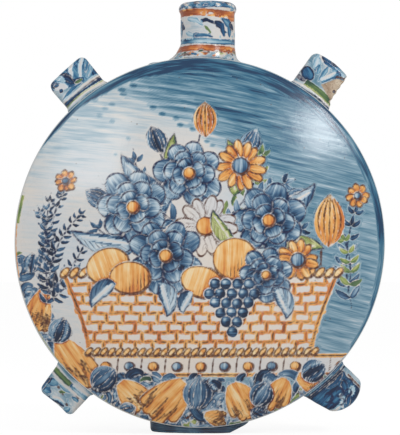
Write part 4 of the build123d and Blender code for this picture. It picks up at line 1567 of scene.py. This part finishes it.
@dataclass(frozen=True)
class BodySizes:
    """The turned outline that both bowls share, in metres.

    Attributes:
        radius: Of the seam, where the bowls meet.
        half_depth: From the seam to the middle of a face.
        middle: Height of the body's axis over the table.
        shoulder_depth: From the seam to the corner between wall and face.
        belly: How much wider the seam is than that corner.
        arris: Rounding of that corner.
        wall: Thickness of the domes.
        rim_wall: Thickness of the wall at the seam.
        inner_corner: Rounding inside, between wall and dome.
        hole_middle: Place of the neck's axis along X.
        hole_radius: Radius of the hole that the neck stands in.
    """

    radius: float
    half_depth: float
    middle: float
    shoulder_depth: float = 26.6 * MM
    belly: float = 1.2 * MM
    arris: float = 3.4 * MM
    wall: float = 6.0 * MM
    rim_wall: float = 8.5 * MM
    inner_corner: float = 9.0 * MM
    hole_middle: float = 5.9 * MM
    hole_radius: float = 16.4 * MM

    @classmethod
    def from_frame(cls) -> "BodySizes":
        """Reads the body's main sizes off the front bowl's box.

        Returns:
            All its sizes.
        """
        low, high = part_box("front_shell")
        radius = min(-low.x, high.x)
        return cls(radius, -low.y, low.z + radius)

    @property
    def dome_radius(self) -> float:
        """Radius of the sphere that a face is part of."""
        rise = self.half_depth - self.shoulder_depth
        return ((self.radius - self.belly) ** 2 + rise**2) / (2 * rise)

    @property
    def dome_centre(self) -> float:
        """Depth of that sphere's middle, which is behind the seam."""
        return self.half_depth - self.dome_radius

    @property
    def wall_radius(self) -> float:
        """Radius of the wall's slight belly."""
        return (self.shoulder_depth**2 + self.belly**2) / (2 * self.belly)

    def corner(self, dome: float, wall: float) -> Points:
        """Where a circle about the dome's middle meets one about the belly's middle, outside.

        Args:
            dome: Radius of the first.
            wall: Radius of the second.

        Returns:
            Its radius and depth.
        """
        base = np.array([self.radius - self.wall_radius, -self.dome_centre])
        span = float(np.hypot(*base))
        along = (dome**2 - wall**2 + span**2) / (2 * span)
        away = math.sqrt(dome**2 - along**2)
        unit = base / span
        foot = np.array([0.0, self.dome_centre]) + unit * along
        spots = [foot + way * away * np.array([-unit[1], unit[0]]) for way in (-1, 1)]
        return max(spots, key=lambda spot: spot[0])

    def outer_line(self, arris_steps: int, wall_steps: int) -> Points:
        """Follows the outside from the edge of the dome, over the arris, to the seam.

        Args:
            arris_steps: Steps on the arris.
            wall_steps: Steps on the wall.

        Returns:
            Radius and depth of each ring.
        """
        fillet = self.corner(self.dome_radius - self.arris, self.wall_radius - self.arris)
        dome, wall = np.array([0.0, self.dome_centre]), np.array([self.radius - self.wall_radius, 0.0])
        starts = [math.atan2(*(fillet - centre)[::-1]) for centre in (dome, wall)]
        turns = np.linspace(starts[0], starts[1], arris_steps + 1)
        arris = fillet + self.arris * np.stack([np.cos(turns), np.sin(turns)], 1)
        depth = np.linspace(arris[-1, 1], 0.0, wall_steps + 1)[1:]
        reach = self.radius - self.wall_radius + np.sqrt(self.wall_radius**2 - depth**2)
        return np.concatenate([arris, np.stack([reach, depth], 1)])

    def inner_line(self, wall_steps: int, corner_steps: int) -> Points:
        """Follows the inside from the seam to the edge of the inner dome.

        Args:
            wall_steps: Steps on the wall.
            corner_steps: Steps on the rounding.

        Returns:
            Radius and depth of each ring.
        """
        reach, round_off = self.radius - self.rim_wall, self.inner_corner
        dome = self.dome_radius - self.wall
        middle_reach = reach - round_off
        middle_depth = self.dome_centre + math.sqrt((dome - round_off) ** 2 - middle_reach**2)
        wall = np.linspace(0.0, middle_depth, wall_steps + 1)
        end = math.atan2(middle_depth - self.dome_centre, middle_reach)
        turns = np.linspace(0.0, end, corner_steps + 1)[1:]
        corner = np.stack([middle_reach + round_off * np.cos(turns),
                           middle_depth + round_off * np.sin(turns)], 1)
        return np.concatenate([np.stack([np.full(wall.size, reach), wall], 1), corner])

    def over(self, points: Points) -> Points:
        """Measures points against the body.

        Args:
            points: The points.

        Returns:
            How far each is outside its surface, about.
        """
        reach = np.hypot(points[:, 0], points[:, 2] - self.middle)
        depth = np.abs(points[:, 1])
        wall = np.hypot(reach - self.radius + self.wall_radius, depth) - self.wall_radius
        dome = np.hypot(reach, depth - self.dome_centre) - self.dome_radius
        return np.maximum(wall, dome)


class MeshMaker:
    """Collects the points and faces of a mesh."""

    def __init__(self) -> None:
        """Starts with nothing."""
        self.points: list[Points] = []
        self.faces: list[list[int]] = []
        self.count = 0

    def add_points(self, points: Points) -> Points:
        """Adds points.

        Args:
            points: The points, in rows of any shape.

        Returns:
            Their numbers, in the same shape.
        """
        numbers = np.arange(self.count, self.count + points.size // 3).reshape(points.shape[:-1])
        self.points.append(points.reshape(-1, 3))
        self.count += numbers.size
        return numbers

    def add_faces(self, corners: Sequence[Points], turned: bool) -> None:
        """Adds faces from each corner's point numbers, turned over if asked."""
        rows = np.stack([part.ravel() for part in corners], 1)
        self.faces.extend((rows[:, ::-1] if turned else rows).tolist())

    def bands(self, rows: Points, turned: bool) -> None:
        """Joins rings of points by bands of faces."""
        near, far = rows[:-1], rows[1:]
        self.add_faces((near, far, np.roll(far, -1, 1), np.roll(near, -1, 1)), turned)

    def mesh(self, name: str) -> Mesh:
        """Makes the mesh.

        Args:
            name: Its name.

        Returns:
            The mesh, shaded smooth.
        """
        made = bpy.data.meshes.new(name)
        made.from_pydata(np.concatenate(self.points).tolist(), [], self.faces)
        made.polygons.foreach_set("use_smooth", np.ones(len(made.polygons), bool))
        made.update()
        return made


def square_to_disc(steps: int) -> tuple[Points, Points]:
    """Spreads a square grid evenly over a disc of radius 1.

    Args:
        steps: Grid steps from the middle to a side.

    Returns:
        Radius and angle of each grid point, by its step to the right and its step up.
    """
    places = np.arange(-steps, steps + 1) / steps
    a, b = np.meshgrid(places, places, indexing="ij")
    wide = np.abs(a) > np.abs(b)
    safe_a, safe_b = np.where(wide, a, 1.0), np.where(b == 0, 1.0, b)
    turn = np.where(wide, math.pi / 4 * b / safe_a, math.pi / 2 - math.pi / 4 * a / safe_b)
    return np.where(wide, a, b), turn


def square_edge(steps: int) -> tuple[Points, Points]:
    """Walks round the square's edge, from its lower right corner upwards.

    Args:
        steps: Grid steps from the middle to a side.

    Returns:
        Each place's step to the right and its step up.
    """
    run, full, none = np.arange(2 * steps), np.full(2 * steps, 2 * steps), np.zeros(2 * steps, int)
    return (np.concatenate([full, 2 * steps - run, none, run]),
            np.concatenate([run, full, 2 * steps - run, none]))


@dataclass
class Bowl:
    """One of the two thrown bowls: dome, rounded corner, wall, and the hollow behind them.

    Attributes:
        name: Its name.
        node: The solid that it stands for.
        side: -1 for the front bowl and 1 for the back one, along Y.
        sizes: The body's outline.
        painter: Paints its face.
        seed: Makes its unevenness its own.
        face_steps: Grid steps from the middle of the face to its edge.
        arris_steps: Bands on the rounded corner.
        wall_steps: Bands on the wall.
    """

    name: str
    node: str
    side: int
    sizes: BodySizes
    painter: type[FacePainter]
    seed: float
    face_steps: int = 124
    arris_steps: int = 5
    wall_steps: int = 20

    def place(self, reach: Points | float, turn: Points, depth: Points | float) -> Points:
        """Turns radius, angle and depth into points."""
        return np.stack(np.broadcast_arrays(reach * np.cos(turn), self.side * depth,
                                            self.sizes.middle + reach * np.sin(turn)), -1)

    def rings(self, line: Points, turn: Points, still: float) -> Points:
        """Places rings of points, drawn back from the seam where the neck's hole is.

        Args:
            line: Radius and depth of each ring.
            turn: Angles of a ring's points.
            still: Depth from which the rings stay where they are.

        Returns:
            Points by ring and by angle.
        """
        reach, depth = line[:, :1], line[:, 1:]
        off = np.minimum(np.abs(reach * np.cos(turn) - self.sizes.hole_middle) / self.sizes.hole_radius, 1.0)
        stop = (np.sin(turn) > 0) * self.sizes.hole_radius * np.sqrt(1 - off**2)
        return self.place(reach, turn, depth + stop * np.clip(1 - depth / still, 0, 1))

    def build(self) -> None:
        """Builds, dresses and paints the bowl."""
        maker, sizes, turned = MeshMaker(), self.sizes, self.side > 0
        outside, inside = sizes.outer_line(self.arris_steps, self.wall_steps), sizes.inner_line(2, 3)
        reach, angle = square_to_disc(self.face_steps)
        reach = reach * outside[0, 0]
        depth = sizes.dome_centre + np.sqrt(sizes.dome_radius**2 - reach**2)
        grid = maker.add_points(self.place(reach, angle, depth))
        maker.add_faces((grid[:-1, :-1], grid[1:, :-1], grid[1:, 1:], grid[:-1, 1:]), turned)
        edge = grid[square_edge(self.face_steps)]
        turns = np.radians(-45 + np.arange(edge.size) * 360 / edge.size)
        outer = maker.add_points(self.rings(outside[1:], turns, outside[self.arris_steps, 1]))
        outer_count = maker.count
        inner = maker.add_points(self.rings(inside, turns, inside[-1, 1]))
        sphere = sizes.dome_radius - sizes.wall
        reach = np.linspace(inside[-1, 0], 0, 6)[1:-1, None]
        dome = maker.add_points(self.place(reach, turns, sizes.dome_centre + np.sqrt(sphere**2 - reach**2)))
        maker.bands(np.concatenate([edge[None], outer, inner, dome]), turned)
        pole = maker.add_points(self.place(0.0, np.zeros(1), sizes.dome_centre + sphere))
        maker.add_faces((dome[-1], np.full(edge.size, pole[0]), np.roll(dome[-1], -1)), turned)
        mesh = maker.mesh(self.name)
        self.weigh_skin(mesh)
        self.lay_flat(mesh, outer_count)
        piece = link(self.name, mesh)
        finish = GlazeFinish(self.node.replace("shell", "glaze"), blue=FACE_COBALT)
        clay = ClaySkin(wave_height=0.26 * MM, wave_length=42 * MM, seed=self.seed)
        clay.apply(piece, finish.material())
        self.paint(piece.data)
        settle(piece, self.node)

    def weigh_skin(self, mesh: Mesh) -> None:
        """Lets the outside sink, less towards the seam and the neck's hole, and the inside not.

        Args:
            mesh: The bowl's mesh.
        """
        points, sizes = read_points(mesh), self.sizes
        near_hole = np.hypot(points[:, 0] - sizes.hole_middle, points[:, 1])
        hole = np.where(points[:, 2] > sizes.middle, smooth_step(near_hole, 18 * MM, 26 * MM), 1.0)
        outside = sizes.over(points) > -1.0 * MM
        write_attribute(mesh, "skin", outside * smooth_step(np.abs(points[:, 1]), 0.5 * MM, 7 * MM) * hole)

    def lay_flat(self, mesh: Mesh, outer_count: int) -> None:
        """Maps the bowl on its texture: the outside as one large disc, the hollow as a small one.

        Args:
            mesh: The bowl's mesh.
            outer_count: How many of its first points lie outside.
        """
        corner = np.zeros(len(mesh.loops), np.int32)
        mesh.loops.foreach_get("vertex_index", corner)
        first, sides = np.zeros((2, len(mesh.polygons)), np.int32)
        mesh.polygons.foreach_get("loop_start", first)
        mesh.polygons.foreach_get("loop_total", sides)
        inner = np.repeat(np.maximum.reduceat(corner, first) >= outer_count, sides)
        sizes = self.sizes
        x, y, z = (read_points(mesh)[corner] - (0, 0, sizes.middle)).T
        away = (np.hypot(x, z) + sizes.half_depth - np.abs(y)) / (sizes.radius + sizes.half_depth)
        turn = np.arctan2(z, x)
        (small, small_middle), (large, large_middle) = (0.098, 0.895), (0.46, 0.465)
        spread, middle = np.where(inner, small, large) * away, np.where(inner, small_middle, large_middle)
        places = np.stack([middle + spread * np.cos(turn), middle + spread * np.sin(turn)], 1)
        layer = mesh.uv_layers.new(name="OFBake")
        layer.data.foreach_set("uv", places.astype(np.float32).ravel())

    def paint(self, mesh: Mesh) -> None:
        """Paints the face and the wall, and leaves the inside bare.

        Args:
            mesh: The bowl's mesh.
        """
        points, sizes = read_points(mesh), self.sizes
        outside = sizes.over(points) > -2.0 * MM
        rise = points[:, 2] - sizes.middle
        arris = sizes.outer_line(self.arris_steps, self.wall_steps)[self.arris_steps // 2 + 1, 1]
        on_face = outside & (np.abs(points[:, 1]) > arris)
        face, wall, hollow = (np.flatnonzero(part) for part in (on_face, outside & ~on_face, ~outside))
        front = self.painter(-self.side * points[face, 0] / MM, rise[face] / MM, 11 + self.side,
                             FacePlan(radius=(sizes.radius - sizes.belly) / MM))
        front.paint()
        around = np.arctan2(points[wall, 0], rise[wall])
        rim = RimPainter(around * sizes.radius / MM, points[wall, 1] / MM, 5)
        rim.paint(arris / MM, FULL_TURN * sizes.radius / MM)
        inner = Canvas(points[hollow, 0] / MM, points[hollow, 2] / MM)
        inner.bare[:] = 1.0
        transfer(mesh, ((face, front), (wall, rim), (hollow, inner)))


@dataclass
class ModelledPiece:
    """A piece shaped by hand and stuck on the body: its mesh is the solid's, made even and worked.

    Attributes:
        name: Its name.
        node: The solid that it stands for.
        sizes: The body's outline.
        finish: Its glaze.
        seed: Makes its unevenness its own.
        grain: Size of its mesh's faces.
        hug: How far its hem is pressed in.
        hug_reach: How far over the body the hem reaches.
    """

    name: str
    node: str
    sizes: BodySizes
    finish: GlazeFinish
    seed: float
    grain: float = 0.65 * MM
    hug: float = 0.75 * MM
    hug_reach: float = 1.3 * MM

    def even_mesh(self) -> Piece:
        """Copies the solid's mesh, closes it, and gives it small even faces.

        Returns:
            The new piece.
        """
        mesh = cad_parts[self.node].data.copy()
        mesh.materials.clear()
        work = bmesh.new()
        work.from_mesh(mesh)
        bmesh.ops.remove_doubles(work, verts=work.verts, dist=1e-6)
        bmesh.ops.recalc_face_normals(work, faces=work.faces)
        work.to_mesh(mesh)
        work.free()
        for layer in list(mesh.uv_layers):
            mesh.uv_layers.remove(layer)
        piece = link(self.name, mesh)
        remesh = piece.modifiers.new("even", "REMESH")
        remesh.mode, remesh.voxel_size, remesh.use_smooth_shade = "VOXEL", self.grain, True
        smooth = piece.modifiers.new("ease", "SMOOTH")
        smooth.factor, smooth.iterations = 0.5, 3
        keep_result(piece)
        return piece

    def touch_up(self, points: Points) -> Points:
        """Presses the piece's hem on to the body, and keeps it inside the solid's box.

        Args:
            points: The piece's points.

        Returns:
            The points after that.
        """
        over = self.sizes.over(points)
        press = self.hug * (1 - np.clip(over / self.hug_reach, 0, 1)) * (over > -2 * MM)
        inward = np.stack([points[:, 0], np.zeros(len(points)), points[:, 2] - self.sizes.middle], 1)
        inward /= np.maximum(np.hypot(inward[:, 0], inward[:, 2]), 1e-6)[:, None]
        low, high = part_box(self.node)
        return np.clip(points - inward * press[:, None], np.array(low), np.array(high))

    def build(self) -> None:
        """Builds, dresses and paints the piece."""
        piece = self.even_mesh()
        points = self.touch_up(read_points(piece.data))
        write_points(piece.data, points)
        write_attribute(piece.data, "skin", smooth_step(self.sizes.over(points), 0.5 * MM, 3 * MM))
        clay = ClaySkin(wave_height=0.45 * MM, wave_length=13 * MM, seed=self.seed)
        clay.apply(piece, self.finish.material())
        points = read_points(piece.data)
        transfer(piece.data, ((np.arange(len(points)), self.painted(points)),))
        settle(piece, self.node)

    def painted(self, points: Points) -> Canvas:
        """Paints the piece's points; each kind of piece has its own way."""
        raise NotImplementedError


@dataclass
class Neck(ModelledPiece):
    """The short thrown neck with its smeared hem."""

    radius: float = 19.25 * MM
    throat: float = 15.6 * MM
    lip: float = 2.5 * MM

    def painted(self, points: Points) -> Canvas:
        """Paints the bands round the neck, and leaves its inside bare below the lip.

        Args:
            points: The neck's points.

        Returns:
            The painted canvas.
        """
        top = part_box(self.node)[1].z
        across, under = points[:, 0] - self.sizes.hole_middle, top - points[:, 2]
        turn, radius = np.arctan2(across, -points[:, 1]), self.radius / MM
        canvas = NeckPainter(turn * radius, -under / MM, 3)
        canvas.paint(math.pi * radius)
        inside = (np.hypot(across, points[:, 1]) < self.throat) & (under > self.lip)
        canvas.bare[:] = inside * smooth_step(under, 4 * MM, 12 * MM)
        return canvas


@dataclass
class Foot(ModelledPiece):
    """The low oval foot ring."""

    worn: float = 0.9 * MM

    def painted(self, points: Points) -> Canvas:
        """Paints the foot blue, worn where it stands.

        Args:
            points: The foot's points.

        Returns:
            The painted canvas.
        """
        canvas = FootPainter(points[:, 0] / MM, points[:, 2] / MM, 4)
        canvas.paint(self.worn / MM)
        return canvas


@dataclass
class Lug(ModelledPiece):
    """A pierced lug for the carrying cord.

    Attributes:
        style: How it is painted.
        angle: Where it stands, in degrees anticlockwise from the right.
        chip_start: How far along the rim a chipped lug is whole.
        chip_share: How much of what lies past that is gone.
    """

    style: LugStyle = LugStyle.BLOTS
    angle: float = 0.0
    chip_start: float = 14.6
    chip_share: float = 0.7

    def flat(self, points: Points) -> tuple[Points, Points]:
        """Lays points flat round the lug.

        Args:
            points: The lug's points.

        Returns:
            Each point's place clockwise along the rim and away from it, in millimetres.
        """
        turn, rise = math.radians(self.angle), points[:, 2] - self.sizes.middle
        along = points[:, 0] * math.sin(turn) - rise * math.cos(turn)
        out = points[:, 0] * math.cos(turn) + rise * math.sin(turn) - self.sizes.radius
        return along / MM, out / MM

    def touch_up(self, points: Points) -> Points:
        """Presses the lug on to the body, and knocks the chipped one's corner off.

        Args:
            points: The lug's points.

        Returns:
            The points after that.
        """
        points = super().touch_up(points)
        if self.style is not LugStyle.PATCHES:
            return points
        along, out = self.flat(points)
        uneven = 0.35 * np.sin(out * 1.3) + 0.3 * np.sin(points[:, 1] / MM * 0.9 + 1.0)
        over = np.maximum(along - self.chip_start - uneven, 0) * smooth_step(out, 1.0, 5.0)
        turn = math.radians(self.angle)
        way = np.array([math.sin(turn), 0.0, -math.cos(turn)])
        return points - way * (self.chip_share * over * MM)[:, None]

    def painted(self, points: Points) -> Canvas:
        """Paints the lug in its style, and bares the chip.

        Args:
            points: The lug's points.

        Returns:
            The painted canvas.
        """
        canvas = LugPainter(*self.flat(points), 21 + int(self.angle))
        canvas.paint(self.style)
        if self.style is LugStyle.PATCHES:
            canvas.chip(-points[:, 1] / MM)
        return canvas


@dataclass
class Stage:
    """The pale floor, the white surroundings, the lamps and the camera, in metres and degrees."""

    sizes: BodySizes
    fill: float = 0.54
    power: float = 5.0
    azimuth: float = -1.25
    distance: float = 1.6
    lens: float = 189.2
    aim: tuple[float, float] = (0.0005, 0.0175)

    def build(self) -> None:
        """Sets up all of it."""
        self.floor()
        self.world()
        self.lamp("window", (0.083, -0.033, 0.209), (0.576, -0.637, 0.517), 1.2, (0.30, 0.30))
        self.lamp("sky_light", (-0.0765, -0.04, 0.197), (-0.513, -0.734, 0.451), 1.5, (0.62, 0.74))
        self.camera()
        bpy.context.scene.view_settings.view_transform = "Standard"

    def floor(self) -> None:
        """Lays a wide pale floor that is white to the camera but keeps a shadow."""
        mesh = bpy.data.meshes.new("floor")
        mesh.from_pydata([(-6, -6, 0), (6, -6, 0), (6, 6, 0), (-6, 6, 0)], [], [(0, 1, 2, 3)])
        material = bpy.data.materials.new("floor")
        net = blank_wiring(material)
        matt = net.node("ShaderNodeBsdfDiffuse", {"Color": (0.86, 0.86, 0.86, 1)})
        glow = net.node("ShaderNodeEmission", {"Color": (1, 1, 1, 1), "Strength": 1.1})
        seen = net.math("MULTIPLY", net.node("ShaderNodeLightPath").outputs["Is Camera Ray"], 0.82)
        blend = net.node("ShaderNodeMixShader", {0: seen, 1: matt.outputs[0], 2: glow.outputs[0]})
        net.node("ShaderNodeOutputMaterial", {"Surface": blend.outputs[0]})
        mesh.materials.append(material)
        link("floor", mesh)

    def world(self) -> None:
        """Surrounds the flask with even light, seen by the camera as white."""
        world = bpy.data.worlds.new("studio")
        net = blank_wiring(world)
        seen = net.node("ShaderNodeLightPath").outputs["Is Camera Ray"]
        strength = net.math("MULTIPLY_ADD", seen, 1 - self.fill, self.fill)
        light = net.node("ShaderNodeBackground", {"Color": (1, 1, 1, 1), "Strength": strength})
        net.node("ShaderNodeOutputWorld", {"Surface": light.outputs[0]})
        bpy.context.scene.world = world

    def lamp(self, name: str, aim: Spot, way: Spot, away: float, size: tuple[float, float]) -> None:
        """Hangs a soft lamp.

        Args:
            name: Its name.
            aim: The point that it faces.
            way: The direction from that point to it.
            away: Its distance.
            size: Its width and height.
        """
        data = bpy.data.lights.new(name, "AREA")
        data.shape, data.size, data.size_y, data.energy = "RECTANGLE", *size, self.power
        lamp, unit = link(name, data), Vector(way).normalized()
        lamp.location = Vector(aim) + unit * away
        lamp.rotation_euler = unit.to_track_quat("Z", "Y").to_euler()

    def camera(self) -> None:
        """Sets the camera straight before the flask, a little to the left, at its middle."""
        data = bpy.data.cameras.new("camera")
        data.sensor_width, data.sensor_fit, data.lens = 36.0, "AUTO", self.lens
        camera, azimuth, away = link("camera", data), math.radians(self.azimuth), self.distance
        camera.location = (away * math.sin(azimuth), -away * math.cos(azimuth), self.sizes.middle)
        aim = Vector((self.aim[0], 0.0, self.sizes.middle + self.aim[1]))
        camera.rotation_euler = (camera.location - aim).to_track_quat("Z", "Y").to_euler()
        bpy.context.scene.camera = camera


class Flask:
    """The whole pilgrim flask."""

    def __init__(self) -> None:
        """Reads the body's sizes and lists the pieces."""
        self.sizes = BodySizes.from_frame()
        plain, dark = GlazeFinish("lug_glaze"), GlazeFinish("dark_lug_glaze", roughness=0.12, specks=0.3)
        self.pieces: list[Bowl | ModelledPiece] = [
            Bowl("front_bowl", "front_shell", -1, self.sizes, FrontPainter, 2.0),
            Bowl("back_bowl", "back_shell", 1, self.sizes, BackPainter, 7.0),
            Neck("thrown_neck", "neck", self.sizes, GlazeFinish("neck_glaze"), 3.0),
            Foot("oval_foot", "foot_ring", self.sizes, GlazeFinish("foot_glaze", veil=0.3), 4.0)]
        for name, finish, style, angle in (("lug_upper_left", plain, LugStyle.STRIPES, 128.1),
                                           ("lug_upper_right", plain, LugStyle.PATCHES, 53.9),
                                           ("lug_lower_left", plain, LugStyle.BLOTS, 228.0),
                                           ("lug_lower_right", dark, LugStyle.DEEP, 313.5)):
            self.pieces.append(Lug(f"painted_{name}", name, self.sizes, finish, angle / 17, 0.6 * MM,
                                   style=style, angle=angle))

    def build(self) -> None:
        """Builds every piece in turn."""
        for piece in self.pieces:
            piece.build()


def main() -> None:
    """Builds the flask and its stage; each piece logs its face count as it is settled."""
    logging.basicConfig(level=logging.INFO, format="%(name)s: %(message)s")
    flask = Flask()
    flask.build()
    Stage(flask.sizes).build()


if __name__ == "__main__":
    main()
